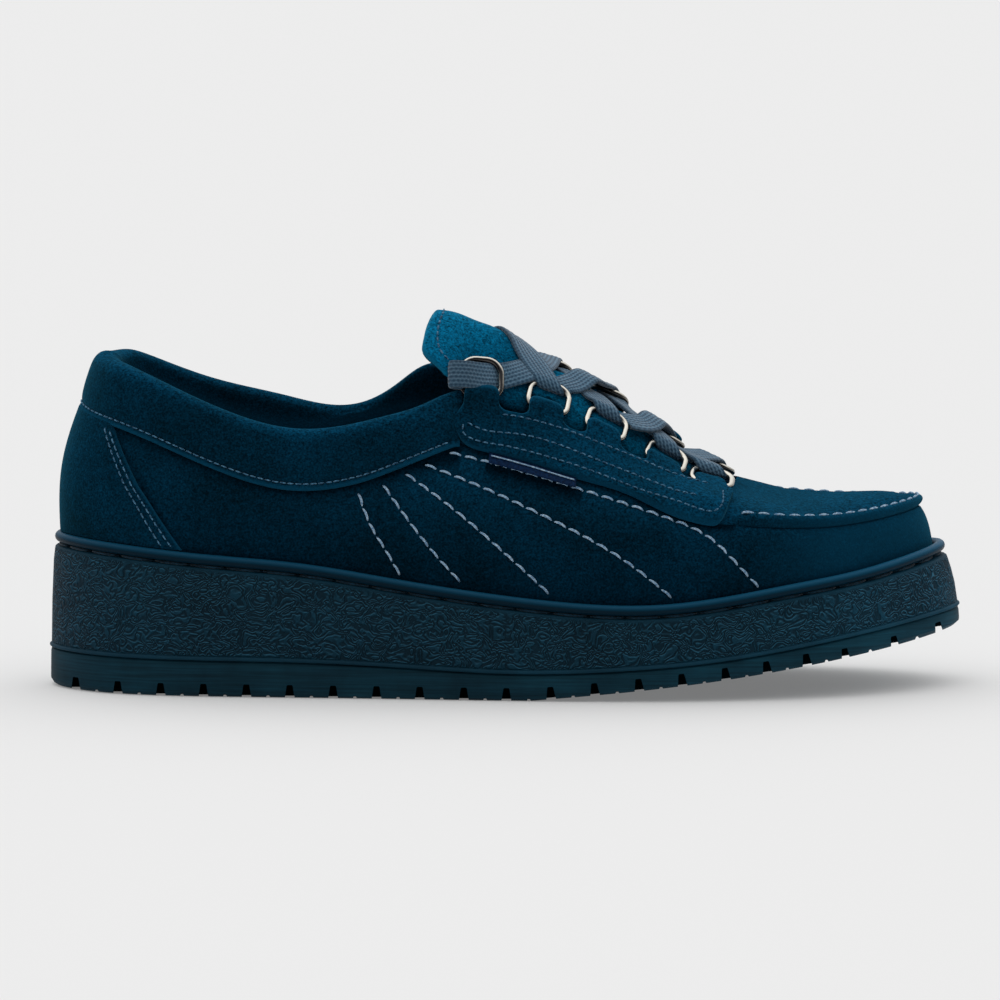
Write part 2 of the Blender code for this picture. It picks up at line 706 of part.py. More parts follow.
def tab_reach(x):
    """How far the eyestay's upper edge stands past the throat edge at x."""
    reach = SCALLOP_REACH
    for middle, half in (row[:2] for row in TABS):
        t = abs(x - middle) / (half + TAB_FLANK)
        if t < 1:
            reach = max(reach, SCALLOP_REACH
                        + (TAB_REACH - SCALLOP_REACH) * (1 - t**5) ** 0.5)
    return reach


def eyestay_columns():
    """Places along the eyestay: close together at the sides of each tab. The last four
    lie on the front of the upper's throat."""
    places = []
    for middle, half in (row[:2] for row in TABS):
        for share in (-1.0, -0.9, -0.6, 0.6, 0.9, 1.0):
            places.append(middle + share * (half + TAB_FLANK))
    places[0] = max(places[0], EYESTAY_BACK_X)
    places[-3:] = [places[-4] + step for step in (0.5, 1.0, 1.5)]
    return places


def build_eyestay(side, leather):
    name = "eyestay_lateral" if side < 0 else "eyestay_medial"
    places = eyestay_columns()
    last = len(places) - 1

    def place(i, r):
        x = places[i]
        low = rise_at_height(station_at(x, 2.0, side), eyestay_lower(x))
        edge = 2.0 + GAP + 0.1
        tip = 2.0 + tab_reach(x)
        # the front end is rounded off, above and below
        low += EYESTAY_END[0].get(last - i, 0.0)
        tip -= EYESTAY_END[1].get(last - i, 0.0)
        rises = [low + share * (2.0 - low) for share in EYESTAY_ROWS]
        rises += [edge, edge, (edge + tip) / 2, tip]
        front = min(1.0, max(0.0, (x - EYESTAY_LIFT_FROM) / EYESTAY_LIFT_OVER))
        gap = OVERLAY_GAP + EYESTAY_LIFT * front
        inner = TAB_INNER if i < last - 2 else gap
        bottoms = (gap,) * 4 + (inner, inner, min(inner + EYESTAY_BEVEL, gap))
        back = EYESTAY_SLANT * max(0.0, 1 - (last - i) / 5) * (2.0 - min(rises[r], 2.0))
        station = station_at(x - back, min(rises[r], 2.0), side)
        swell = min(1.0, max(0.0, (tip - 2.0 - SCALLOP_REACH) / 3.0))
        flat = gap + EYESTAY_THICK
        thick = flat + (TAB_OUTER - flat) * swell
        tops = (flat,) * 4 + (flat + 0.1, thick, thick - EYESTAY_BEVEL)
        point = off_upper(station, rises[r], bottoms[r])
        return point, off_upper(station, rises[r], tops[r])

    def ordered(i, r):
        return place(i if side < 0 else last - i, r)
    return patch(name, len(places), 7, ordered, leather)


# Rings

def ring_frame(side, number):
    """Middle of the ring's lower bar, the way along the throat and the way over it."""
    x, lean = TABS[number][0], math.radians(TABS[number][2 if side < 0 else 3])
    station = station_at(x, 2.0, side)
    rise = 2.0 + TUNNEL_REACH
    middle = off_upper(station, rise, (TAB_INNER + TAB_OUTER) / 2)
    ahead = (upper_point(station_at(x + 3, 2.0, side), rise)
             - upper_point(station_at(x - 3, 2.0, side), rise))
    ahead /= np.linalg.norm(ahead)
    over = np.array((0.0, -side * math.cos(lean), math.sin(lean)))
    over -= ahead * np.dot(over, ahead)
    return middle, ahead, over / np.linalg.norm(over)


def ring_crown(side, number):
    middle, ahead, over = ring_frame(side, number)
    return middle + over * RING_WIDE


def build_ring(side, number, steel, thicker=0.0):
    middle, ahead, over = ring_frame(side, number)
    points = []
    straight_a = RING_LONG / 2 - RING_CORNER
    straight_b = RING_WIDE / 2 - RING_CORNER
    for corner, (sign_a, sign_b) in enumerate(((1, -1), (1, 1), (-1, 1), (-1, -1))):
        for i in range(CORNER_STEPS + 1):
            turn = math.pi / 2 * (corner - 1 + i / CORNER_STEPS)
            a = sign_a * straight_a + RING_CORNER * math.cos(turn)
            b = sign_b * straight_b + RING_CORNER * math.sin(turn)
            points.append(middle + ahead * a + over * (b + RING_WIDE / 2))
    name = "ring_%s_%d" % ("lateral" if side < 0 else "medial", number + 1)
    curve = bpy.data.curves.new(name, "CURVE")
    curve.dimensions = "3D"
    spline = curve.splines.new("POLY")
    spline.points.add(len(points) - 1)
    for point, target in zip(spline.points, points):
        point.co = (*(float(c) * MM for c in target), 1.0)
    spline.use_cyclic_u = True
    curve.bevel_depth = (WIRE_RADIUS + thicker) * MM
    curve.bevel_resolution = 1
    curve.materials.append(steel)
    thing = bpy.data.objects.new(name if thicker == 0 else name + "_cutter", curve)
    SHOE.objects.link(thing)
    return thing


def as_mesh(thing, collection):
    """The same object as a mesh, for a Boolean."""
    evaluated = thing.evaluated_get(bpy.context.evaluated_depsgraph_get())
    mesh = bpy.data.meshes.new_from_object(evaluated)
    made = bpy.data.objects.new(thing.name + "_mesh", mesh)
    made.matrix_world = thing.matrix_world
    collection.objects.link(made)
    bpy.data.objects.remove(thing)
    if collection is CUTTERS:
        made.hide_render = True
        made.display_type = "WIRE"
    return made


# Tongue

def tongue_edge(x, side):
    """Where the arch meets the throat's lower edge: half width, height and steepness."""
    station = station_at(min(max(x, THROAT_BACK_X), THROAT_FRONT_X), 2.0, side)
    edge = off_upper(station, 2.0, -UPPER_WALL - TONGUE_CLEAR)
    half, z = abs(edge[1]), edge[2]
    front = min(max((x - ARCH_FROM) / ARCH_OVER, 0.0), 1.0)
    power = ARCH_BACK + (ARCH_FRONT - ARCH_BACK) * front
    lift = tongue_row(x)[1] - max(x - THROAT_FRONT_X, 0.0) * PLUG_FALL
    return half, z + lift, power


TONGUE_EDGES = {side: line_curve([(row[0], *tongue_edge(row[0], side)) for row in TONGUE])
                for side in (-1, 1)}


def tongue_top(x, y):
    """Height of the tongue's top face."""
    middle_z = tongue_row(x)[0]
    half, edge_z, power = TONGUE_EDGES[-1 if y < 0 else 1](x)
    blunt = math.hypot(y, TONGUE_RIDGE) - TONGUE_RIDGE
    widest = half - RIDGE_SHARE * TONGUE_RIDGE
    return middle_z - (middle_z - edge_z) * (blunt / widest) ** power


def tongue_point(along, share):
    """Top face of the tongue: along 0 at its free end, 1 under the plug; share -1 to 1."""
    first, last = tongue_end(abs(share)), TONGUE[0][0]
    x = first + (last - first) * along
    half = TONGUE_EDGES[-1 if share < 0 else 1](x)[0] + TONGUE_UNDER
    half -= TONGUE_NARROW * min(max(tongue_row(x)[1], 0.0), TONGUE_NARROW_MOST)
    half *= 1 - PLUG_TAPER * max(x - THROAT_FRONT_X, 0.0)
    y = share * half
    return np.array((x, y, tongue_top(x, y)))


def tongue_normal(along, share):
    step = 0.02
    ahead = tongue_point(min(along + step, 1), share) - tongue_point(max(along - step, 0), share)
    side = (tongue_point(along, min(share + step, 1))
            - tongue_point(along, max(share - step, -1)))
    normal = np.cross(ahead, side)
    return normal / np.linalg.norm(normal)


def build_tongue(leather):
    rows, columns = 15, 9
    outer, inner = [], []
    for i in range(rows):
        along = (i / (rows - 1)) ** 1.25
        for c in range(columns):
            share = math.sin(math.pi / 2 * (2 * c / (columns - 1) - 1))
            point = tongue_point(along, share)
            thick = TONGUE_THICK * (1 - TONGUE_EDGE_THIN * abs(share) ** 3)
            if i == 0:
                thick *= TONGUE_END_THICK
            thin = 1 - (point[0] - TONGUE_THIN_FROM) / TONGUE_THIN_OVER
            thick *= min(1.0, max(TONGUE_THIN_LEAST, thin))
            outer.append(point)
            inner.append(point - thick * tongue_normal(along, share))
    return shell("tongue", outer, inner, grid_faces(rows, columns), leather)


# Lace

def lace_strip(a, b, lift, half_width, end_across):
    """Closed flat strip from a to b over the tongue. Its ends lie along the two rings."""
    steps = 6
    sections = []
    for i in range(steps + 1):
        t = i / steps
        middle = a + (b - a) * t + np.array((0.0, 0.0, 4 * lift * t * (1 - t)))
        ahead = b - a + np.array((0.0, 0.0, 4 * lift * (1 - 2 * t)))
        ahead /= np.linalg.norm(ahead)
        slope = (tongue_row(middle[0] + 1)[0] - tongue_row(middle[0] - 1)[0]) / 2
        square = np.array((1.0, 0.0, slope))
        square -= ahead * np.dot(square, ahead)
        square /= np.linalg.norm(square)
        share = abs(2 * t - 1) ** 1.5
        across = end_across[0 if t < 0.5 else 1] * share + square * (1 - share)
        across /= np.linalg.norm(across)
        normal = np.cross(square, ahead)
        w, h = half_width * across, LACE_THICK / 2 * normal
        sections.append([middle - w - h, middle + w - h, middle + w + h, middle - w + h])
    return sections


def build_lace(cotton):
    """Criss-cross from ring to ring, with a bar between the lowest pair of rings."""
    def strip(start, end):
        over = start[0] > 0
        reach = WIRE_RADIUS + GAP + (LACE_PAST_OVER if over else LACE_PAST)
        top_shift = (0.0, 0.0, LACE_FIRST_UP)
        ends, rails = [], []
        for side, number in (start, end):
            crown, rail = ring_crown(side, number), ring_frame(side, number)[1]
            rails.append(rail)
            shift = rail * LACE_FIRST_ON + top_shift if number == 0 else 0.0
            over_by = LACE_OVER if over else LACE_UNDER
            ends.append(crown + shift + np.array((0.0, -side * reach, over_by)))
        middle = (ends[0] + ends[1]) / 2
        ridge = tongue_top(middle[0], middle[1]) + LACE_THICK / 2 + LACE_CLEAR
        lift = max(ridge - middle[2], LACE_RISE)
        half = LACE_WIDTH / 2 - (LACE_NARROWER if over else 0.0)
        return lace_strip(*ends, lift, half, rails)

    last = len(TABS) - 1
    strips = []
    for number in range(last):
        strips.append(strip((-1, number), (1, number + 1)))
        strips.append(strip((1, number), (-1, number + 1)))
    strips.append(strip((-1, last), (1, last)))
    lace = sweep("lace", strips[0], cotton)
    for i, sections in enumerate(strips[1:]):
        other = sweep("lace_strip_%d" % i, sections, cotton)
        boolean(lace, other, "UNION")
        bpy.data.objects.remove(other)
    return lace


# Tag: a folded woven tab that stands out below the eyestay's lower edge
TAG_FIRST, TAG_LAST, TAG_WIDE, TAG_THICK = -5.0, 21.5, 3.4, 1.0


def build_tag(cloth):
    columns = 9

    def place(i, r):
        x = TAG_FIRST + (TAG_LAST - TAG_FIRST) * i / (columns - 1)
        station = station_at(x, 1.5, -1)
        top = rise_at_height(station, eyestay_lower(x) - GAP - 0.2)
        high = upper_profile(station)[4]
        rise = top - (1 - r) * TAG_WIDE / high
        return off_upper(station, rise, GAP), off_upper(station, rise, GAP + TAG_THICK)
    return patch("tag", columns, 2, place, cloth)


def move_to(thing, collection):
    for old in list(thing.users_collection):
        old.objects.unlink(thing)
    collection.objects.link(thing)
    if collection is CUTTERS:
        thing.hide_render = True
        thing.display_type = "WIRE"


for leftover in list(bpy.data.objects):
    bpy.data.objects.remove(leftover)
SHOE = bpy.data.collections.new("shoe")
CUTTERS = bpy.data.collections.new("cutters")
bpy.context.scene.collection.children.link(SHOE)
bpy.context.scene.collection.children.link(CUTTERS)

suede = material("suede", (0.012, 0.085, 0.135), 0.92)
tongue_suede = material("tongue_suede", (0.008, 0.14, 0.21), 0.9)
rubber = material("rubber", (0.008, 0.045, 0.09), 0.6)
cotton = material("cotton", (0.12, 0.17, 0.25), 0.85)
cloth = material("cloth", (0.16, 0.19, 0.22), 0.9)
steel = material("steel", (0.72, 0.72, 0.7), 0.18, 1.0)

round_the_shoe = stations(UPPER_STEPS)
build_outsole(round_the_shoe, rubber)
build_levels("midsole", MIDSOLE_LEVELS, round_the_shoe, rubber)
build_levels("insole", INSOLE_LEVELS, round_the_shoe, cloth)
build_welt(round_the_shoe, rubber)
build_upper(suede)
build_collar(suede)
build_counter(suede)
build_tongue(tongue_suede)
for side in (-1, 1):
    eyestay = build_eyestay(side, suede)
    for number in range(len(TABS)):
        cutter = as_mesh(build_ring(side, number, steel, GAP), CUTTERS)
        boolean(eyestay, cutter, "DIFFERENCE")
        build_ring(side, number, steel)
build_lace(cotton)
build_tag(cloth)
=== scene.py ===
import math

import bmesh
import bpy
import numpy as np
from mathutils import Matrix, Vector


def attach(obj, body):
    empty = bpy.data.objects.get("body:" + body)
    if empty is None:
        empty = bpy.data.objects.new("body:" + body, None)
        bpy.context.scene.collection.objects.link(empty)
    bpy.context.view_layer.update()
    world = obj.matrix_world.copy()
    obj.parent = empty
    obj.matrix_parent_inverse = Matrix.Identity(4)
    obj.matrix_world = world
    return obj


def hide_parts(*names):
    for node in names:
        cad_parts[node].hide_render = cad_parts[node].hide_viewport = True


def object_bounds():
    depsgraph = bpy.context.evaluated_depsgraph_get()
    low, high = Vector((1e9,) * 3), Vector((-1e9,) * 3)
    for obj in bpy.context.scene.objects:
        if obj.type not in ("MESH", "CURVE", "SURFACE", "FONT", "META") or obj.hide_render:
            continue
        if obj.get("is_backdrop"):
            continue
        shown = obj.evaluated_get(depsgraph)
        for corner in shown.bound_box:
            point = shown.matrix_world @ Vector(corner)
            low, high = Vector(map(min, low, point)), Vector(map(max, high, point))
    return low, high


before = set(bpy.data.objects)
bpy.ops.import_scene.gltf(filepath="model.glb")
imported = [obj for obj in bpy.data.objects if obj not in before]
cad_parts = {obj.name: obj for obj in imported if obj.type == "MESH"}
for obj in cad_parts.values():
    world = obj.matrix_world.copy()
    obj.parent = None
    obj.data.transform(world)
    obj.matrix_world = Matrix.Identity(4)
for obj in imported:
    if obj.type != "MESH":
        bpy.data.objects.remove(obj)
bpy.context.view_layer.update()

# Looks of a low lace-up suede shoe, right foot. Tables and sizes are in millimetres.
# A station is a place round the shoe: 0 at the back of the heel, 12 at the tip of the
# toe, up the lateral side, and on to 24 back along the medial side. A rise is a place up
# the wall: 0 at its foot, 1 at its girth line, 2 at its top edge, and past 2 it grows by
# 1 for each mm.

MM = 0.001
GAP = 0.3
BEAD_RADIUS = 1.6
UPPER_WALL = 2.0
UPPER_INSET = BEAD_RADIUS + GAP
TOE, ROUND = 12.0, 24.0
THROAT_FRONT = 8.4
COLLAR_FRONT = 4.86
THROAT_BACK_X, THROAT_FRONT_X = -10.0, 66.0

PLAN = (  # station, lateral x, lateral y, medial x, medial y, flare of the sole
    (0, -134.4, 0.0, -134.4, 0.0, 3.0),
    (1, -127.0, -16.5, -127.0, 16.5, 2.6),
    (2, -106.0, -29.0, -106.0, 28.5, 2.2),
    (3, -68.0, -34.8, -68.0, 30.0, 2.0),
    (4, -36.0, -38.2, -36.0, 28.5, 2.0),
    (5, -12.0, -41.3, -12.0, 31.0, 2.0),
    (6, 10.0, -43.6, 10.0, 36.6, 2.0),
    (7, 34.0, -45.35, 35.0, 42.2, 2.0),
    (8, 60.0, -44.35, 62.0, 45.25, 2.2),
    (9, 84.0, -39.4, 88.0, 42.5, 2.6),
    (10, 105.0, -30.0, 110.0, 35.5, 3.4),
    (11, 122.5, -14.0, 126.0, 22.0, 4.8),
    (12, 131.6, 5.0, 131.6, 5.0, 6.0),
)
UPPER = (  # station, then girth and top edge of each side as (inwards, height)
    (0, 0.0, 64.0, 11.0, 98.0, 0.0, 64.0, 11.0, 98.0),
    (1, -0.2, 64.0, 8.5, 96.2, -0.2, 64.0, 8.5, 96.2),
    (2, 0.0, 62.0, 4.5, 90.8, 0.0, 62.0, 4.0, 91.5),
    (3, 0.5, 58.0, 4.4, 77.4, 0.3, 59.0, 3.0, 79.5),
    (4, 2.0, 58.0, 8.8, 81.0, 0.8, 59.5, 4.5, 83.4),
    (5, 3.5, 58.5, 15.6, 84.2, 2.0, 60.0, 9.4, 87.6),
    (6, 4.5, 59.0, 19.6, 80.0, 3.2, 60.5, 14.2, 83.4),
    (7, 5.5, 57.5, 21.4, 71.2, 5.0, 58.5, 19.0, 74.4),
    (8, 5.8, 56.0, 19.8, 61.7, 5.8, 56.4, 20.6, 62.8),
    (9, 4.5, 53.8, 16.0, 58.6, 4.6, 54.2, 17.0, 59.4),
    (10, 4.8, 53.3, 16.0, 57.6, 4.8, 53.6, 16.0, 57.9),
    (11, 5.5, 54.6, 16.0, 58.0, 5.5, 54.6, 16.0, 58.0),
    (12, 6.2, 55.4, 16.0, 58.4, 6.2, 55.4, 16.0, 58.4),
)
BEAD_HEIGHT = ((-137.0, 45.2), (-121.0, 44.1), (-92.0, 41.4), (-60.0, 38.7), (-34.0, 34.7),
               (-3.0, 30.3), (21.0, 27.9), (46.0, 27.5), (65.0, 29.6), (87.0, 33.2),
               (109.0, 36.7), (121.0, 39.2), (137.0, 42.6))
SEAM_HEIGHT = ((-137.5, 11.7), (-92.0, 11.0), (-60.0, 10.7), (-27.0, 9.4), (2.0, 8.2),
               (35.0, 9.3), (65.0, 12.1), (87.0, 15.5), (109.0, 19.4), (137.5, 24.4))
TOE_SPRING = ((8.0, 0.0), (35.0, 2.6), (58.0, 5.2), (80.0, 8.2), (102.0, 11.7),
              (120.0, 14.8), (137.5, 18.0))
PLUG_CROWN = ((66.0, 61.2), (79.5, 57.5), (94.0, 57.0), (108.0, 57.7), (116.0, 57.7),
              (120.0, 57.0), (126.0, 55.2))
TONGUE = (  # x, height at the middle, lift of the sides
    (77.0, 56.2, 0.0), (70.0, 58.6, 0.0), (62.0, 62.6, 0.0), (52.0, 69.0, 0.0),
    (38.0, 79.0, 0.0), (24.0, 88.6, 0.0), (10.0, 97.4, 0.0), (3.0, 102.3, 0.0),
    (-4.0, 108.0, 0.0), (-9.0, 110.3, -0.6), (-14.0, 112.4, 8.0), (-19.0, 113.4, 12.0),
    (-27.0, 113.4, 15.0),
)
TONGUE_END = ((0.0, -21.4), (0.15, -21.7), (0.35, -22.9), (0.7, -24.6), (0.88, -23.0),
              (1.0, -17.5))
TONGUE_RIDGE = 2.0    # radius that blunts the ridge along its middle
RIDGE_SHARE = 0.8     # of which this much is taken off the half width
MEDIAL_LIFT = 0.5     # the medial side's lift as a share of the lateral side's
SCALLOP_SHADE = 3.2   # how much further the shade reaches in a scallop than at a tab
# Where the lace crosses, the tongue's padding swells up
PUFF_HIGH, PUFF_LONG, PUFF_WIDE, PUFF_AHEAD = 2.7, 6.5, 7.0, 2.0
TONGUE_UNDER, TONGUE_NARROW, TONGUE_CLEAR, TONGUE_THICK = 1.2, 0.5, 0.95, 4.2
EYESTAY_LOWER = ((-17.0, 78.5), (-12.0, 75.2), (-5.0, 72.9), (8.0, 69.4), (22.0, 65.2),
                 (36.0, 61.0), (47.0, 56.0), (57.0, 52.6), (70.0, 51.2))
TABS = (  # x, half width, lean in degrees of the lateral ring and of the medial ring
    (-7.5, 5.2, 64.0, 63.0), (11.8, 5.0, 40.0, 44.0), (29.0, 4.9, 33.0, 30.0),
    (47.4, 5.0, 26.0, 9.0), (62.2, 4.6, 16.0, 10.0),
)
TAB_ROUND, SCALLOP_ROUND = 2.4, 3.0
TAB_REACH, SCALLOP_REACH = 9.5, 1.7
OVERLAY_GAP, EYESTAY_THICK = 0.42, 1.7
TAB_OUTER, TAB_INNER = 2.4, -1.9
WIRE_RADIUS = 0.95
RING_LONG, RING_WIDE, RING_CORNER = 12.2, 12.6, 4.6
TUNNEL_REACH = 4.9
LACE_WIDTH, LACE_THICK = 8.0, 1.6
LACE_SPREAD = 0.4     # the lace spreads by this on each side
# By the side and number of the strand's ring nearer the ankle: how far it bows along x and y,
# then how far it stands up and where along its run.
LACE_BOWS = {(-1, 0): (3.0, -4.0), (-1, 1): (0.5, -2.0), (-1, 2): (1.5, -6.0)}
LACE_LOOPS = {(-1, 1): (2.2, 0.62), (-1, 2): (2.3, 0.78)}


# Curves

def loop_curve(rows):
    """Smooth closed curve through rows, as a function of an array of stations."""
    rows = np.asarray(rows, float)
    count = len(rows)
    matrix = np.zeros((count, count))
    for i in range(count):
        matrix[i, i - 1] = 1
        matrix[i, i] = 4
        matrix[i, (i + 1) % count] = 1
    jumps = np.roll(rows, -1, 0) - 2 * rows + np.roll(rows, 1, 0)
    bends = np.linalg.solve(matrix, 6 * jumps)

    def value(station):
        station = np.asarray(station, float)
        whole = np.floor(station)
        t = (station - whole)[..., None]
        i = whole.astype(int) % count
        j = (i + 1) % count
        u = 1 - t
        return rows[i] * u + rows[j] * t + ((u**3 - u) * bends[i] + (t**3 - t) * bends[j]) / 6
    return value


def line_curve(rows):
    """Smooth open curve through (x, value, ...) rows, as a function of an array of x."""
    rows = np.asarray(rows, float)
    rows = rows[np.argsort(rows[:, 0], kind="stable")]
    x, y = rows[:, 0], rows[:, 1:]
    step = np.diff(x)
    count = len(x)
    matrix = np.eye(count)
    right = np.zeros_like(y)
    for i in range(1, count - 1):
        matrix[i, i - 1:i + 2] = step[i - 1], 2 * (step[i - 1] + step[i]), step[i]
        right[i] = 6 * ((y[i + 1] - y[i]) / step[i] - (y[i] - y[i - 1]) / step[i - 1])
    bends = np.linalg.solve(matrix, right)

    def value(at):
        at = np.clip(np.asarray(at, float), x[0], x[-1])
        i = np.clip(np.searchsorted(x, at, side="right") - 1, 0, count - 2)
        h = step[i]
        u, t, h = ((x[i + 1] - at) / h)[..., None], ((at - x[i]) / h)[..., None], h[..., None]
        smooth = ((u**3 - u) * bends[i] + (t**3 - t) * bends[i + 1]) * h * h / 6
        result = y[i] * u + y[i + 1] * t + smooth
        return result[..., 0] if y.shape[1] == 1 else result
    return value


def both_sides(table, lateral, medial):
    """Closed curve up the lateral columns of a table and back along its medial ones."""
    up = [[row[c] for c in lateral] for row in table]
    back = [[row[c] for c in medial] for row in table[-2:0:-1]]
    return loop_curve(up + back)


def unit(v):
    return v / np.maximum(np.linalg.norm(v, axis=-1, keepdims=True), 1e-9)


def bound(v):
    """The value kept between 0 and 1."""
    return np.clip(v, 0, 1)


def quarter_round(t):
    """0 to 1 along a quarter of a circle, steep at first, as t goes from 0 to 1."""
    return np.sqrt(bound(1 - (1 - bound(t)) ** 2))


def shadow(distance, most, reach):
    """Shade of most at a distance of 0 or less, falling off over reach mm."""
    return most * np.exp(-np.maximum(distance, 0.0) / reach)


def alike(*values):
    """The values as arrays of one shape."""
    return np.broadcast_arrays(*(np.asarray(value, float) for value in values))


def distances(points):
    """How far along its path each point lies."""
    steps = np.linalg.norm(np.diff(points[:, :3], axis=0), axis=1)
    return np.concatenate(([0], np.cumsum(steps)))


def at_distance(points, reach, at):
    """The path's rows at some distances along it."""
    return np.column_stack([np.interp(at, reach, column) for column in points.T])


def evened(values, rounds):
    """Each row drawn towards its neighbours, round after round; the ends stay."""
    for _ in range(rounds):
        values[1:-1] = (values[:-2] + 2 * values[1:-1] + values[2:]) / 4
    return values


def smooth_path(points, count):
    """Points evenly along a smooth curve through the given ones."""
    points = np.asarray(points, float)
    reach = distances(points)
    curve = line_curve(np.column_stack((reach, points)))
    return curve(np.linspace(0, reach[-1], count))


def resample(points, step):
    """The same path with a point about every step mm, and its length."""
    reach = distances(points)
    at = np.linspace(0, reach[-1], max(2, int(round(reach[-1] / step)) + 1))
    return at_distance(points, reach, at)


plan_loop = both_sides(PLAN, (1, 2), (3, 4))
flare_loop = both_sides(PLAN, (5,), (5,))
upper_loop = both_sides(UPPER, (1, 2, 3, 4), (5, 6, 7, 8))
bead_height = line_curve(BEAD_HEIGHT)
seam_height = line_curve(SEAM_HEIGHT)
toe_spring = line_curve(TOE_SPRING)
plug_crown = line_curve(PLUG_CROWN)
tongue_row = line_curve(TONGUE)
tongue_end = line_curve(TONGUE_END)
eyestay_lower = line_curve(EYESTAY_LOWER)


def sole_lower(x):
    """Height of the sole's lower face: flat, then up the toe spring."""
    return np.where(np.asarray(x) > TOE_SPRING[0][0], np.maximum(0.0, toe_spring(x)), 0.0)


def plan_point(station, out=0.0):
    """Place in plan on the welt's line, or out mm outside it."""
    station = np.asarray(station, float)
    here = plan_loop(station)
    ahead = unit(plan_loop(station + 0.01) - plan_loop(station - 0.01))
    square = np.stack((ahead[..., 1], -ahead[..., 0]), -1)
    return here + np.asarray(out, float)[..., None] * square


def flare(station):
    return flare_loop(station)[..., 0]


def from_heel(station):
    """The station counted from the heel, alike on both sides."""
    return np.minimum(station, ROUND - station)


# The upper's own surface

def hermite(a, b, slope_a, slope_b, t):
    return ((2 * t**3 - 3 * t**2 + 1) * a + (t**3 - 2 * t**2 + t) * slope_a
            + (3 * t**2 - 2 * t**3) * b + (t**3 - t**2) * slope_b)


def upper_profile(station):
    """Foot, girth and top of the wall as (inwards, height), with lengths and slopes."""
    table = upper_loop(station)
    x = plan_point(station)[..., 0]
    foot = np.stack((np.zeros_like(x), bead_height(x) - BEAD_RADIUS), -1)
    girth, top = table[..., :2], table[..., 2:]
    low = np.linalg.norm(girth - foot, axis=-1, keepdims=True)
    high = np.linalg.norm(top - girth, axis=-1, keepdims=True)
    middle = unit(((girth - foot) / low * high + (top - girth) / high * low) / (low + high))
    start = 1.5 * (girth - foot) / low - 0.5 * middle
    end = unit(1.15 * (top - girth) / high - 0.15 * middle)
    return foot, girth, top, low, high, start, middle, end


def upper_point(station, rise):
    station, rise = alike(station, rise)
    foot, girth, top, low, high, start, middle, end = upper_profile(station)
    r = rise[..., None]
    lower = hermite(foot, girth, start * low, middle * low, bound(r))
    upper = hermite(girth, top, middle * high, end * high, bound(r - 1))
    spot = np.where(r <= 1, lower, upper) + end * np.maximum(r - 2, 0)
    plan = plan_point(station, -UPPER_INSET - spot[..., 0])
    return np.concatenate((plan, spot[..., 1:]), -1)


def upper_normal(station, rise):
    """Unit vector out of the wall."""
    rise = np.minimum(rise, 2.0)
    low = np.where(rise > 1.98, rise - 0.02, rise)
    along = upper_point(station + 0.03, rise) - upper_point(station - 0.03, rise)
    up = upper_point(station, low + 0.02) - upper_point(station, low)
    return unit(np.cross(along, up))


def off_upper(station, rise, out=0.0):
    """A place out mm off the wall."""
    station, rise, out = alike(station, rise, out)
    return upper_point(station, rise) + out[..., None] * upper_normal(station, rise)


def wall_high(station):
    """Length of the wall from its girth line to its top edge."""
    return upper_profile(station)[4][..., 0]


def rise_at_depth(station, depth):
    """Rise of the place depth mm below the top edge, or above it where depth is negative."""
    high = wall_high(station)
    return np.where(depth > 0, 2.0 - depth / high, 2.0 - depth)


def search(low, high, below):
    """Where below(middle) turns false between low and high, by halving."""
    for _ in range(22):
        middle = (low + high) / 2
        under = below(middle)
        low, high = np.where(under, middle, low), np.where(under, high, middle)
    return (low + high) / 2


def rise_at_height(station, z):
    station, z = alike(station, z)
    return search(np.zeros_like(z), np.full_like(z, 2.0),
                  lambda rise: upper_point(station, rise)[..., 2] < z)


def station_at(x, rise, side):
    """Station where the wall, at a rise, passes x on the lateral (-1) or medial (1) side."""
    x, rise = alike(x, rise)
    place = (lambda s: s) if side < 0 else (lambda s: ROUND - s)
    return place(search(np.full_like(x, 1.2), np.full_like(x, 11.5),
                        lambda s: upper_point(place(s), rise)[..., 0] < x))


def on_side(x, z, side):
    """Station and rise of the wall's point at x and height z."""
    x, z = np.asarray(x, float), np.asarray(z, float)
    rise = np.ones_like(x)
    for _ in range(5):
        station = station_at(x, rise, side)
        rise = rise_at_height(station, z)
    return station, rise


# Making meshes

def add_mesh(name, points, faces, materials, slots=None, layers=None, sharp=None):
    mesh = bpy.data.meshes.new(name)
    mesh.from_pydata((np.asarray(points) * MM).tolist(), [],
                     [tuple(int(i) for i in f) for f in faces])
    work = bmesh.new()
    work.from_mesh(mesh)
    if work.calc_volume(signed=True) < 0:
        bmesh.ops.reverse_faces(work, faces=work.faces)
        work.to_mesh(mesh)
    work.free()
    for kind in materials:
        mesh.materials.append(kind)
    if slots is not None:
        mesh.polygons.foreach_set("material_index", np.asarray(slots, np.int32))
    for layer, values in (layers or {}).items():
        made = mesh.attributes.new(layer, "FLOAT", "POINT")
        made.data.foreach_set("value", np.asarray(values, np.float32).ravel())
    mesh.shade_smooth()
    mesh.validate()
    if sharp is not None:
        mesh.set_sharp_from_angle(angle=math.radians(sharp))
    thing = bpy.data.objects.new(name, mesh)
    bpy.context.scene.collection.objects.link(thing)
    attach(thing, "root")
    return thing


def grid_faces(nu, nv, wrap_u=False, wrap_v=False, base=0, flip=False):
    u = np.arange(nu if wrap_u else nu - 1)
    v = np.arange(nv if wrap_v else nv - 1)
    a = u[:, None] * nv + v[None, :]
    b = ((u + 1) % nu)[:, None] * nv + v[None, :]
    c = ((u + 1) % nu)[:, None] * nv + ((v + 1) % nv)[None, :]
    d = u[:, None] * nv + ((v + 1) % nv)[None, :]
    order = (d, c, b, a) if flip else (a, b, c, d)
    return np.stack(order, -1).reshape(-1, 4) + base


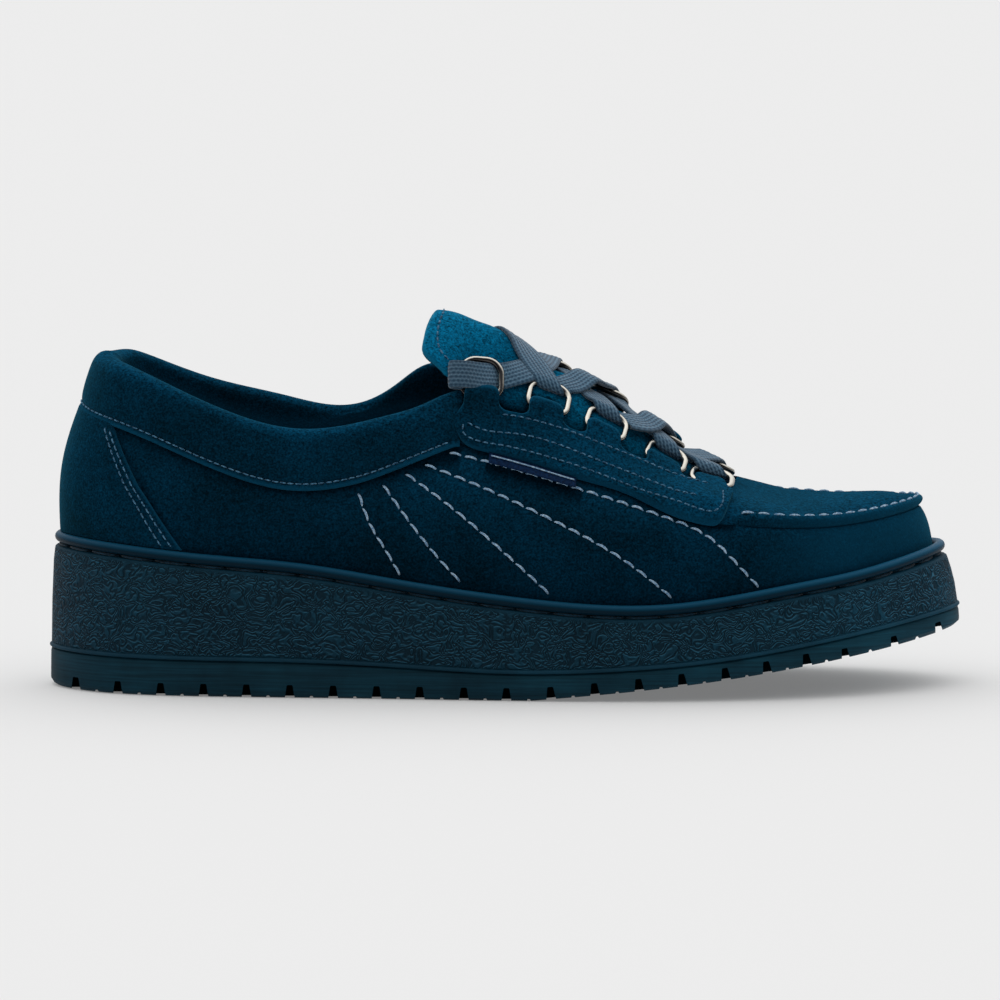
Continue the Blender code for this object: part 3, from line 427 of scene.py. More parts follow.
def patch(corner, rows, columns):
    """Four-sided faces between neighbouring rows and columns of corner(row, column)."""
    return [(corner(i, j), corner(i + 1, j), corner(i + 1, j + 1), corner(i, j + 1))
            for i in rows for j in columns]


def tube(points):
    """Points and faces of sections points[u, v], closed rings, joined along u and capped."""
    nu, nv = points.shape[:2]
    faces = [tuple(f) for f in grid_faces(nu, nv, wrap_v=True)]
    faces.append(tuple(range(nv)))
    faces.append(tuple(reversed(range((nu - 1) * nv, nu * nv))))
    return points.reshape(-1, 3), faces


def sheet(outer, inner):
    """Points and faces of a closed sheet between two grids: outer, inner, then the rim."""
    nu, nv = outer.shape[:2]
    faces = [tuple(f) for f in grid_faces(nu, nv)]
    faces += [tuple(f) for f in grid_faces(nu, nv, base=nu * nv, flip=True)]
    rim = [i * nv for i in range(nu)] + [(nu - 1) * nv + j for j in range(1, nv)]
    rim += [i * nv + nv - 1 for i in range(nu - 2, -1, -1)] + [j for j in range(nv - 2, 0, -1)]
    for a, b in zip(rim, rim[1:] + rim[:1]):
        faces.append((b, a, a + nu * nv, b + nu * nv))
    return np.concatenate((outer.reshape(-1, 3), inner.reshape(-1, 3))), faces


def joined(parts):
    """Several (points, faces) as one."""
    points, faces, base = [], [], 0
    for some, theirs in parts:
        points.append(some)
        faces.extend(tuple(int(i) + base for i in f) for f in theirs)
        base += len(some)
    return np.concatenate(points), faces


def wire(path, radius, sides=10, closed=False):
    """Round wire along a path, its sections kept from twisting."""
    ahead = np.roll(path, -1, 0) - np.roll(path, 1, 0)
    if not closed:
        ahead[0], ahead[-1] = path[1] - path[0], path[-1] - path[-2]
    ahead = unit(ahead)
    helper = np.array((0.31, 0.17, 0.93))
    a = unit(np.cross(ahead, helper))
    b = np.cross(ahead, a)
    turn = np.arange(sides) * 2 * math.pi / sides
    radius = np.broadcast_to(np.asarray(radius, float), (len(path),))
    ring = path[:, None] + radius[:, None, None] * (np.cos(turn)[None, :, None] * a[:, None]
                                                    + np.sin(turn)[None, :, None] * b[:, None])
    if closed:
        return ring.reshape(-1, 3), grid_faces(len(path), sides, True, True)
    return tube(ring)


# Rows of stitches: pitch, length, thickness, and how proud as a share of the thickness
COLLAR_ROW = (2.3, 1.7, 0.5, 0.45)
OVERLAY_ROW = (2.4, 1.8, 0.5, 0.4)
EYESTAY_ROW = (2.35, 1.65, 0.5, 0.45)
RAY_ROW = (4.75, 3.9, 0.8, 0.45)
SEAM_ROW = (4.8, 3.9, 0.8, 0.4)
WELT_ROW = (11.0, 9.9, 0.8, 0.5)


def stitches(path, normal, pitch, length, thick, proud, start=0.5, arch=0.0):
    """A row of thread stitches along a path, each a short bead whose ends dive in."""
    full = resample(np.column_stack((path, normal)), 0.25)
    reach = distances(full)
    count = int((reach[-1] - start) / pitch)
    parts = []
    share = np.linspace(0, 1, 7)
    for k in range(count):
        at = start + k * pitch + share * length
        spot = at_distance(full, reach, at)
        up = unit(spot[:, 3:])
        hump = np.sin(math.pi * share) ** 0.5
        aside = np.cross(up, unit(spot[-1:, :3] - spot[:1, :3]))
        centre = spot[:, :3] + up * ((hump * (proud + 0.35) - 0.35) * thick)[:, None]
        centre += aside * (arch * np.sin(math.pi * share))[:, None]
        parts.append(wire(centre, thick / 2 * (0.55 + 0.45 * hump), 6))
    return joined(parts)


# Materials

def colour(r, g, b):
    """Linear colour from sRGB bytes."""
    return tuple((c / 255 / 12.92 if c <= 10 else ((c / 255 + 0.055) / 1.055) ** 2.4)
                 for c in (r, g, b)) + (1.0,)


LACE_RIBS = 3.5       # across half the lace's width


class Nodes:
    """A material's node tree, with short calls for the nodes used here."""

    def __init__(self, name):
        self.material = bpy.data.materials.new(name)
        self.material.use_nodes = True
        self.tree = self.material.node_tree
        self.shader = self.tree.nodes["Principled BSDF"]
        self.place = self.add("ShaderNodeTexCoord").outputs["Object"]

    def add(self, kind, **settings):
        node = self.tree.nodes.new(kind)
        for key, value in settings.items():
            setattr(node, key, value)
        return node

    def feed(self, socket, value):
        """Link the value to the socket, or set it there."""
        if isinstance(value, bpy.types.NodeSocket):
            self.tree.links.new(value, socket)
        else:
            socket.default_value = value

    def set(self, node, **inputs):
        for key, value in inputs.items():
            self.feed(node.inputs[key.replace("_", " ")], value)
        return node

    def axis(self, vector, letter):
        """One of a vector's three numbers."""
        node = self.add("ShaderNodeSeparateXYZ")
        self.feed(node.inputs[0], vector)
        return node.outputs[letter]

    def facing(self, letter):
        """How far the surface faces along an axis."""
        return self.axis(self.add("ShaderNodeNewGeometry").outputs["Normal"], letter)

    def noise(self, scale, detail=3.0, roughness=0.55, at=None, distortion=0.0):
        node = self.add("ShaderNodeTexNoise")
        self.set(node, Vector=at or self.place, Scale=scale, Detail=detail,
                 Roughness=roughness, Distortion=distortion)
        return node.outputs["Fac"]

    def stretched(self, x, y, z):
        node = self.add("ShaderNodeMapping")
        self.set(node, Vector=self.place, Scale=(x, y, z))
        return node.outputs["Vector"]

    def layer(self, name):
        return self.add("ShaderNodeAttribute", attribute_name=name).outputs["Fac"]

    def math(self, operation, a, b=0.0, c=0.0, clamp=False):
        node = self.add("ShaderNodeMath", operation=operation, use_clamp=clamp)
        for socket, value in zip(node.inputs, (a, b, c)):
            self.feed(socket, value)
        return node.outputs[0]

    def ramp(self, value, low, high, a=0.0, b=1.0):
        node = self.add("ShaderNodeMapRange")
        self.set(node, Value=value, From_Min=low, From_Max=high, To_Min=a, To_Max=b)
        return node.outputs["Result"]

    def mix(self, share, a, b, blend="MIX"):
        node = self.add("ShaderNodeMix", data_type="RGBA", blend_type=blend)
        for index, value in ((0, share), (6, a), (7, b)):
            self.feed(node.inputs[index], value)
        return node.outputs[2]

    def scaled(self, base, factor):
        """A colour made brighter or darker by a number."""
        grey = self.mix(1.0, (1, 1, 1, 1), factor, "MULTIPLY")
        return self.mix(1.0, base, grey, "MULTIPLY")

    def bump(self, height, strength, distance, before=None):
        node = self.add("ShaderNodeBump")
        self.set(node, Height=height, Strength=strength, Distance=distance * MM)
        if before is not None:
            self.set(node, Normal=before)
        return node.outputs["Normal"]

    def finish(self, **inputs):
        self.set(self.shader, **inputs)
        return self.material


def suede(name, dark, light, tint, rim, speckle=0.6, sheen=0.45, bump=0.5):
    """Brushed suede; the layer rim paints a highlight, paler, and the layer shade paints shade."""
    n = Nodes(name)
    cloud = n.noise(30.0, 3.0, 0.5)
    nap = n.noise(1.0, 3.0, 0.6, at=n.stretched(520.0, 520.0, 900.0))
    fuzz = n.noise(1700.0, 2.0, 0.6)
    tufts = n.noise(950.0, 2.0, 0.6)
    upward = n.facing("Z")
    # Painted light: faces that look up are made paler.
    painted_top_light = n.ramp(upward, 0.3, 0.95, 0.0, 0.5)
    share = n.math("ADD", n.ramp(cloud, 0.35, 0.65, 0.15, 0.5),
                   n.ramp(nap, 0.35, 0.65, -0.12, 0.12))
    share = n.math("ADD", share, painted_top_light, clamp=True)
    base = n.mix(share, dark, light)
    dots = n.ramp(fuzz, 0.36, 0.66, 1 - 0.7 * speckle, 1 + speckle)
    raised = n.ramp(upward, 0.1, 0.8, 0.15, 0.85)
    dots = n.math("ADD", dots, n.math("MULTIPLY", raised, n.ramp(tufts, 0.35, 0.65, -0.5, 0.6)))
    base = n.scaled(base, dots)
    # Painted highlight: paler, in the colour rim, where the layer rim is set.
    base = n.mix(n.ramp(n.layer("rim"), 0.1, 1.0, 0.0, 0.75), base, rim)
    shade = n.layer("shade")
    base = n.mix(shade, base, (0.0, 0.001, 0.002, 1.0))
    coarse = n.bump(nap, 0.3 * bump, 0.5)
    normal = n.bump(fuzz, bump, 0.28, coarse)
    gloss = n.math("MULTIPLY_ADD", shade, -sheen, sheen, clamp=True)
    return n.finish(Base_Color=base, Roughness=0.95, Sheen_Weight=gloss, Sheen_Roughness=0.4,
                    Sheen_Tint=tint, Specular_IOR_Level=0.0, Normal=normal)


def rubber(name, dark, light, textured=False, streaks=0.0, rough=0.55, shine=0.08, lit=False):
    """Moulded rubber, with painted light that makes it paler towards the toe; textured only where
    the layer wall is 1.
    """
    n = Nodes(name)
    base = n.mix(n.ramp(n.noise(60.0, 4.0), 0.3, 0.7), dark, light)
    # With lit, painted light: paler where it faces up, darker where it faces down.
    if lit:
        base = n.mix(n.ramp(n.facing("Z"), -0.1, 0.75), dark, light)
    # Painted light: paler towards the toe.
    painted_toe_light = n.ramp(n.axis(n.place, "X"), 20.0 * MM, 135.0 * MM, 1.0, 1.5)
    lines = n.noise(1.0, 2.0, 0.6, at=n.stretched(40.0, 40.0, 1500.0))
    base = n.mix(n.ramp(lines, 0.3, 0.7, streaks, 0.0), base, (0.001, 0.004, 0.006, 1.0))
    grain = n.noise(1400.0, 2.0)
    normal = n.bump(grain, 0.12, 0.2)
    if textured:
        def worms(lift):
            place = n.add("ShaderNodeMapping")
            n.set(place, Vector=n.place, Location=(0.0, 0.0, lift * 240.0 * MM),
                  Scale=(190.0, 190.0, 240.0))
            swirl = n.noise(1.0, 1.5, 0.5, at=place.outputs["Vector"], distortion=1.1)
            return n.ramp(n.math("PINGPONG", n.math("MULTIPLY", swirl, 8.0), 0.5), 0.1, 0.4)

        wall = n.layer("wall")
        # Painted light and shade on the texture: the upper side of each ridge (the ridge less a copy
        # shifted up) is painted paler, and the valleys darker.
        ridge = worms(0.0)
        painted_ridge_light = n.math("MULTIPLY", n.math("SUBTRACT", ridge, worms(0.35)), wall)
        height = n.math("MULTIPLY", ridge, wall)
        normal = n.bump(height, 1.0, 0.7, normal)
        low = n.math("MULTIPLY", n.ramp(ridge, 0.0, 0.7, 0.6, 0.0), wall)
        base = n.mix(low, base, (dark[0] * 0.2, dark[1] * 0.2, dark[2] * 0.2, 1.0))
        base = n.mix(n.ramp(painted_ridge_light, 0.1, 0.8, 0.0, 0.8), base, colour(42, 92, 116))
    base = n.scaled(base, painted_toe_light)
    return n.finish(Base_Color=base, Roughness=rough, Specular_IOR_Level=shine, Normal=normal)


def thread(name, dark, light, sheen=0.2):
    """Twisted thread or plain cloth."""
    n = Nodes(name)
    twist = n.noise(1.0, 2.0, 0.5, at=n.stretched(1500.0, 1500.0, 1500.0))
    base = n.mix(n.ramp(twist, 0.35, 0.65), dark, light)
    return n.finish(Base_Color=base, Roughness=0.8, Sheen_Weight=sheen, Specular_IOR_Level=0.1,
                    Normal=n.bump(twist, 0.5, 0.15))


def woven(name, dark, light):
    """Flat woven lace: ribs along its length, fine crossing threads."""
    n = Nodes(name)
    across, along = n.layer("across"), n.layer("along")
    rib = n.math("PINGPONG", n.math("MULTIPLY", across, LACE_RIBS), 0.5)
    row = n.math("FLOOR", n.math("MULTIPLY_ADD", across, LACE_RIBS, 0.5))
    weft = n.math("MULTIPLY_ADD", row, 0.5, n.math("MULTIPLY", along, 0.85))
    weft = n.math("PINGPONG", weft, 0.5)
    height = n.math("ADD", n.math("MULTIPLY", rib, 1.1), n.math("MULTIPLY", weft, 0.6))
    base = n.mix(n.ramp(height, 0.15, 0.75), dark, light)
    fluff = n.noise(1700.0, 3.0, 0.7)
    base = n.mix(n.ramp(fluff, 0.35, 0.65, 0.0, 0.55), base, dark)
    # Painted shade along each strand's edges; the lace is also darker towards the back, about its
    # loose end.
    edge = n.ramp(n.math("ABSOLUTE", across), 0.86, 1.0, 0.0, 0.75)
    behind = n.ramp(n.axis(n.place, "X"), -4.0 * MM, -10.0 * MM, 0.0, 0.4)
    base = n.mix(n.math("MAXIMUM", edge, behind), base, tuple(0.35 * c for c in dark[:3]) + (1.0,))
    normal = n.bump(fluff, 0.35, 0.2, n.bump(height, 0.9, 0.35))
    return n.finish(Base_Color=base, Roughness=0.9, Sheen_Weight=0.3, Sheen_Roughness=0.5,
                    Specular_IOR_Level=0.15, Normal=normal)


def metal(name):
    """Polished wire with a painted reflection: dark where it faces sideways or down."""
    n = Nodes(name)
    wear_and_band_noise = n.noise(300.0, 3.0)
    rough = n.ramp(wear_and_band_noise, 0.3, 0.7, 0.1, 0.2)
    aside = n.math("ADD", n.math("ABSOLUTE", n.facing("Y")),
                   n.ramp(wear_and_band_noise, 0.3, 0.7, -0.05, 0.05))
    # Painted reflection: a dark band where the wire faces sideways, and darker where it faces down.
    painted_dark_band = n.ramp(aside, 0.62, 0.86)
    base = n.mix(painted_dark_band, colour(196, 192, 182), colour(48, 48, 50))
    base = n.mix(n.ramp(n.facing("Z"), 0.3, -0.25), base, colour(70, 68, 66))
    return n.finish(Base_Color=base, Metallic=1.0, Roughness=rough)


# The colour after the tint is each suede's painted highlight, laid where the layer rim is set.
SUEDE = suede("suede", colour(2, 23, 33), colour(4, 54, 80), (0.1, 0.42, 0.58, 1.0),
              colour(14, 74, 104), sheen=0.26)
TONGUE_SUEDE = suede("tongue_suede", colour(0, 66, 98), colour(6, 100, 138),
                     (0.15, 0.7, 0.9, 1.0), colour(20, 112, 148), sheen=0.35)
LINING = suede("lining", colour(0, 22, 34), colour(5, 42, 60), (0.15, 0.4, 0.55, 1.0),
               colour(5, 42, 60), speckle=0.7, sheen=0.2)
EDGE = suede("cut_edge", colour(0, 26, 42), colour(3, 44, 66), (0.2, 0.5, 0.7, 1.0),
             colour(3, 44, 66), sheen=0.1)
SOLE = rubber("sole_rubber", colour(11, 46, 60), colour(18, 62, 78), streaks=0.5, rough=0.6)
# Near-black rubber for the notches' walls: painted shade.
NOTCH_SHADE = rubber("notch_shade_rubber", colour(2, 10, 14), colour(3, 13, 18), shine=0.0)
WALL = rubber("wall_rubber", colour(9, 43, 58), colour(15, 56, 74), textured=True, rough=0.6)
# The bead's top is painted paler (lit), as a highlight.
BEAD = rubber("bead_rubber", colour(3, 30, 44), colour(14, 68, 94), rough=0.4, shine=0.05,
              lit=True)
THREAD = thread("blue_thread", colour(16, 62, 92), colour(84, 136, 168))
PALE_THREAD = thread("pale_thread", colour(92, 132, 168), colour(170, 196, 216))
SOLE_THREAD = thread("sole_thread", colour(2, 22, 34), colour(14, 54, 74))
LACE = woven("woven_lace", colour(37, 68, 92), colour(110, 148, 174))
STEEL = metal("nickel")
LABEL = thread("label_cloth", colour(0, 20, 46), colour(4, 38, 74), sheen=0.0)


# Sole

def level_path(stations, out, up, height=bead_height):
    """Points out mm outside the plan, and up mm above a height along the shoe."""
    plan = plan_point(stations, out)
    return np.column_stack((plan, height(plan_point(stations)[..., 0]) + up))


def sole_loops(stations, levels):
    """A level path for each row: share of the flare, out, above what, up."""
    return np.array([level_path(stations, share * flare(stations) + out, up, height)
                     for share, out, height, up in levels])


def solid_levels(loops):
    """Closed solid through loops, with ruled lower and upper faces."""
    levels, count = loops.shape[:2]
    faces = []
    for level in range(levels - 1):
        for i in range(count):
            j = (i + 1) % count
            low, high = level * count, (level + 1) * count
            faces.append((low + i, low + j, high + j, high + i))
    last = (levels - 1) * count
    for i in range(count // 2):
        a, b, c, d = i, i + 1, (count - i - 1) % count, (count - i) % count
        for base, order in ((0, (a, d, c, b)), (last, (a, b, c, d))):
            face = list(dict.fromkeys(base + index for index in order))
            if len(face) > 2:
                faces.append(tuple(face))
    return loops.reshape(-1, 3), faces


GROOVES = (-129.2, -116.2, -103.2, -90.3, -77.4, -64.4, -51.4, -38.4, -25.5, -12.3, 0.4,
           13.8, 26.9, 40.1, 53.0, 66.0, 78.4, 90.4, 102.0, 117.1, 131.0)
NOTCH_LONG, NOTCH_WALL = 4.5, 4.0     # in from the welt's line, and the wall behind it
MAIN_NOTCH, SMALL_NOTCH = (4.0, 3.0, 1.8), (0.9, 1.3, 0.5)     # depth, mouth, top
TOE_NOTCH, TOE_NOTCH_FROM = (3.2, 2.4, 1.8), 95.0
NOTCH_CORNER = (0.4, 0.3)             # off a main notch's top: from its width, and down
FAR_OUT = 70.0                        # a y that is clear of the sole on either side
around = np.arange(480) * ROUND / 480


def groove_cutters():
    """Wedge notches in both sides with a groove between them, and smaller notches."""
    parts = []
    up_side = np.linspace(0.1, TOE - 0.1, 300)
    outer_side, inner_side = plan_point(up_side), plan_point(ROUND - up_side)
    between = [(a + b) / 2 for a, b in zip(GROOVES, GROOVES[1:])]
    for x in sorted(GROOVES + tuple(between)):
        main = x in GROOVES
        depth, mouth, top = MAIN_NOTCH if main else SMALL_NOTCH
        if main and x > TOE_NOTCH_FROM:
            depth, mouth, top = TOE_NOTCH
        slope = math.atan2(float(sole_lower(x + 3) - sole_lower(x - 3)), 6.0)
        ahead = np.array((math.cos(slope), 0, math.sin(slope)))
        up = np.array((-math.sin(slope), 0, math.cos(slope)))
        wide = 2 * mouth - top
        ring = [(-wide, -depth), (wide, -depth), (top, depth), (-top, depth)]
        if main:
            along, down = NOTCH_CORNER
            ring = [(-wide, -depth), (wide, -depth), (top, depth - down), (top - along, depth),
                    (-top + along, depth), (-top, depth - down)]
        section = np.array([ahead * a / 2 + up * b for a, b in ring])
        section += (x, 0, float(sole_lower(x)))
        left = float(np.interp(x, outer_side[:, 0], outer_side[:, 1])) + NOTCH_LONG
        right = float(np.interp(x, inner_side[:, 0], inner_side[:, 1])) - NOTCH_LONG
        reaches = [(-FAR_OUT, left), (right, FAR_OUT), (left + NOTCH_WALL, right - NOTCH_WALL)]
        if right - left < 2 * NOTCH_WALL + 4.0:
            reaches = reaches[:2] if right > left + 1.0 else [(-FAR_OUT, FAR_OUT)]
        for reach in reaches:
            parts.append(tube(np.stack([section + (0, y, 0) for y in reach])))
    return joined(parts)


def cut(thing, points, faces):
    """Take a closed mesh out of an object, giving the new faces near-black rubber as painted shade.
    """
    cutter = add_mesh("cutter", points, faces, [SOLE, NOTCH_SHADE], [1] * len(faces))
    change = thing.modifiers.new("cut", "BOOLEAN")
    change.object = cutter
    change.solver = "EXACT"
    bpy.context.view_layer.update()
    graph = bpy.context.evaluated_depsgraph_get()
    made = bpy.data.meshes.new_from_object(thing.evaluated_get(graph))
    thing.modifiers.remove(change)
    thing.data = made
    bpy.data.objects.remove(cutter)
    made.shade_smooth()
    made.set_sharp_from_angle(angle=math.radians(35))


OUTSOLE_LEVELS = (  # share of the flare, out, above what, up
    (0.55, -1.6, sole_lower, 0.0), (0.68, -0.8, sole_lower, 0.2), (0.8, -0.2, sole_lower, 0.8),
    (1.0, -0.05, sole_lower, 2.0), (1.0, 0.0, sole_lower, 2.8),
    (0.97, 0.0, seam_height, -1.4), (0.95, -0.1, seam_height, -0.6), (0.94, -0.6, seam_height, -0.1),
)


def wall_middle(x):
    """About the middle of the textured wall."""
    return (seam_height(x) + 2.6 + bead_height(x) - 7.0) / 2


WALL_LEVELS = (  # the same, and 1 where the wall is textured
    (0.94, -0.3, seam_height, 0.0, 0), (0.94, 0.25, seam_height, 0.12, 0),
    (0.94, 0.5, seam_height, 0.4, 0), (0.93, 0.5, seam_height, 0.75, 0),
    (0.92, 0.2, seam_height, 1.05, 0), (0.91, -0.05, seam_height, 1.2, 0),
    (0.89, 0.05, seam_height, 1.7, 1), (0.7, 0.4, wall_middle, 0.0, 1),
    (0.5, 0.5, bead_height, -7.0, 1), (0.28, 0.8, bead_height, -3.9, 1),
    (0.22, 0.8, bead_height, -3.0, 0), (0.16, 0.55, bead_height, -2.65, 0),
    (0.0, 0.2, bead_height, -2.45, 0), (0.0, -0.9, bead_height, -2.4, 0),
    (0.0, -0.9, bead_height, -2.0, 0),
)


def wall_levels():
    """Every level of the midsole's side, more of them where its wall is textured."""
    corners = sole_loops(around, [level[:4] for level in WALL_LEVELS])
    marks = [level[4] for level in WALL_LEVELS]
    rows, shares = [], []
    for k, corner in enumerate(corners):
        rows.append(corner)
        shares.append(marks[k])
        if marks[k] and marks[k + 1]:
            for t in (0.25, 0.5, 0.75):
                rows.append(corner * (1 - t) + corners[k + 1] * t)
                shares.append(1)
    return np.array(rows), np.repeat(shares, len(around))


outsole = add_mesh("tread_sole", *solid_levels(sole_loops(around, OUTSOLE_LEVELS)),
                   [SOLE, NOTCH_SHADE])
cut(outsole, *groove_cutters())
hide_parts("outsole")

rows, shares = wall_levels()
midsole = add_mesh("wedge", *solid_levels(rows), [WALL], layers={"wall": shares},
                   sharp=50)
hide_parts("midsole")


welt = add_mesh("welt_bead", *wire(level_path(around, 0.0, 0.0), BEAD_RADIUS, 16, True), [BEAD])
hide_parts("welt")

dense = np.linspace(0, ROUND, 1500)
welt_row = level_path(dense, -0.1, -2.05)
outward = np.column_stack((plan_point(dense, 1.0) - plan_point(dense), np.zeros(1500)))
welt_thread = add_mesh("welt_stitches",
                       *stitches(welt_row, outward, *WELT_ROW), [SOLE_THREAD])

insole_levels = ((0.0, -5.0, bead_height, -1.6), (0.0, -5.0, bead_height, 0.4),
                 (0.0, -5.2, bead_height, 1.0), (0.0, -5.8, bead_height, 1.3),
                 (0.0, -7.0, bead_height, 1.4))
insole = add_mesh("footbed", *solid_levels(sole_loops(around[::2], insole_levels)), [LINING])
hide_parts("insole")


# Decorative rows on the quarters: (x, height) on the wall
RAYS = (
    ((-44.1, 61.7), (-39.6, 50.3), (-36.6, 45.5), (-29.8, 33.6)),
    ((-36.9, 64.1), (-28.7, 52.8), (-18.7, 40.6), (-12.4, 34.0)),
    ((-30.2, 67.2), (-15.7, 56.8), (-3.3, 46.5), (9.7, 34.9), (14.5, 30.4)),
    ((-24.5, 69.8), (-6.3, 62.8), (15.1, 53.2), (36.6, 41.2), (51.7, 29.0)),
    ((-17.2, 73.2), (-6.3, 70.6), (23.6, 62.2), (48.4, 54.4), (61.0, 48.6), (68.3, 41.6),
     (76.8, 32.3)),
)


def surface_path(rows, side, out, count=120):
    """A smooth row over the wall through (x, height) places: points and normals."""
    path = smooth_path(np.asarray(rows, float), count)
    station, rise = on_side(path[:, 0], path[:, 1], side)
    return off_upper(station, rise, out), upper_normal(station, rise)


RAY_SINK, RAY_SINK_WIDE = 0.45, 1.1
ray_paths = [surface_path(rows, side, 0.0) for side in (-1, 1) for rows in RAYS]
ray_points = np.concatenate([points for points, normal in ray_paths])


def near_rays(points):
    """Distance of each point to the nearest decorative row."""
    flat = points.reshape(-1, 3)
    best = np.full(len(flat), 99.0)
    for k in range(0, len(ray_points), 2):
        best = np.minimum(best, np.linalg.norm(flat - ray_points[k], axis=1))
    return best.reshape(points.shape[:-1])


def ray_sink(points):
    """The dent that a decorative row pulls into the suede."""
    return -RAY_SINK * np.exp(-(near_rays(points) / RAY_SINK_WIDE) ** 2)


# Upper

LIP_FIRST, LIP_LOW = 8.3, 0.85
COLLAR_DEPTH = 15.4
COUNTER_EDGE = line_curve(((0.0, 2.26), (0.3, 2.08), (0.65, 1.83), (1.0, 1.44)))
COUNTER_HIGH = 34.0        # about its height
SHADE_STATION = 36.0       # mm that its shade counts to a station, which is really 24 to 33
PLUG_INSET, PLUG_BAND = 1.0, 0.2
# How dark the quarters are close under an overlay, and over about how many mm that falls off
STAY_SHADE, BAND_SHADE, HEEL_SHADE = (0.75, 1.2), (0.7, 1.3), (0.6, 1.2)
MOST_SHADE = 0.85


def lip_share(station):
    return bound((from_heel(station) - LIP_FIRST) / 0.3)


def lip_height(rise):
    """Fold of the moccasin seam: a dark line under it, then a rounded roll."""
    t = (rise - LIP_LOW) / (1 - LIP_LOW)
    roll = 2.4 * quarter_round(t / 0.42)
    roll = roll - 0.8 * bound((t - 0.6) / 0.4) ** 2
    crease = -0.5 * np.exp(-((t + 0.06) / 0.09) ** 2)
    return np.where(t > 0, roll, crease)


def plug_point(station, across):
    """A place on the toe's plug, across it from side to side (0 to 1)."""
    station, across = alike(station, across)
    a, b = off_upper(station, 1.0), off_upper(ROUND - station, 1.0)
    width = np.linalg.norm(b - a, axis=-1)
    inset = np.minimum(PLUG_INSET * lip_share(station) / np.maximum(width, 0.01), 0.4)
    t = (inset + (1 - 2 * inset) * across)[..., None]
    arch = a + (b - a) * t
    middle = (a + b) / 2
    height = np.maximum(plug_crown(middle[..., 0]) - middle[..., 2], 0.0)
    arch[..., 2] += height * (1 - np.abs(2 * t[..., 0] - 1) ** 2.3)
    share = bound((THROAT_FRONT + 0.8 - station) / 0.8)[..., None]
    band = PLUG_BAND
    left = upper_point(station, 1 + bound(across / band))
    right = upper_point(ROUND - station, 1 + bound((1 - across) / band))
    c, d = upper_point(station, 2.0), upper_point(ROUND - station, 2.0)
    t = ((across - band) / (1 - 2 * band))[..., None]
    between = c + (d - c) * t
    between[..., 2] += ((plug_crown(between[..., 0]) - (c[..., 2] + d[..., 2]) / 2)
                        * (1 - np.abs(2 * t[..., 0] - 1) ** 2.0))
    wall = np.where((across < band)[..., None], left,
                    np.where((across > 1 - band)[..., None], right, between))
    return wall * share + arch * (1 - share)


def plug_normal(station, across):
    station = np.minimum(station, TOE - 0.15)
    side = (plug_point(station, np.minimum(across + 0.02, 1))
            - plug_point(station, np.maximum(across - 0.02, 0)))
    ahead = plug_point(station + 0.05, across) - plug_point(station - 0.05, across)
    return unit(np.cross(ahead, side))


def quarter_shade(points, station, rise):
    """Darker towards the sole, and close under the overlays and the tag."""
    x, z = points[..., 0], points[..., 2]
    along = from_heel(station)
    low = 0.4 * bound(1 - rise / 1.1) * bound((9.5 - along) / 2)
    under = eyestay_lower(x) - z
    near = (x > -16.0) & (x < 69.0) & (under > -1.0)
    stay = np.where(near, shadow(under, *STAY_SHADE), 0.0)
    label = np.where((x > -5.5) & (x < 22.5) & (station < TOE) & (under > 2.0),
                     0.7 * np.exp(-((under - 4.0) / 3.2) ** 2), 0.0)
    below = wall_high(station) * (2.0 - rise) - COLLAR_DEPTH
    band = np.where((along < COLLAR_FRONT) & (rise > 1.0), shadow(below, *BAND_SHADE), 0.0)
    edge = COUNTER_EDGE(bound((z - bead_height(x)) / COUNTER_HIGH))
    ahead = (along - edge) * SHADE_STATION
    heel = np.where((ahead > -1.0) & (along < 3.0), shadow(ahead, *HEEL_SHADE), 0.0)
    return np.clip(np.maximum.reduce([low, stay, label, band, heel]), 0, MOST_SHADE)


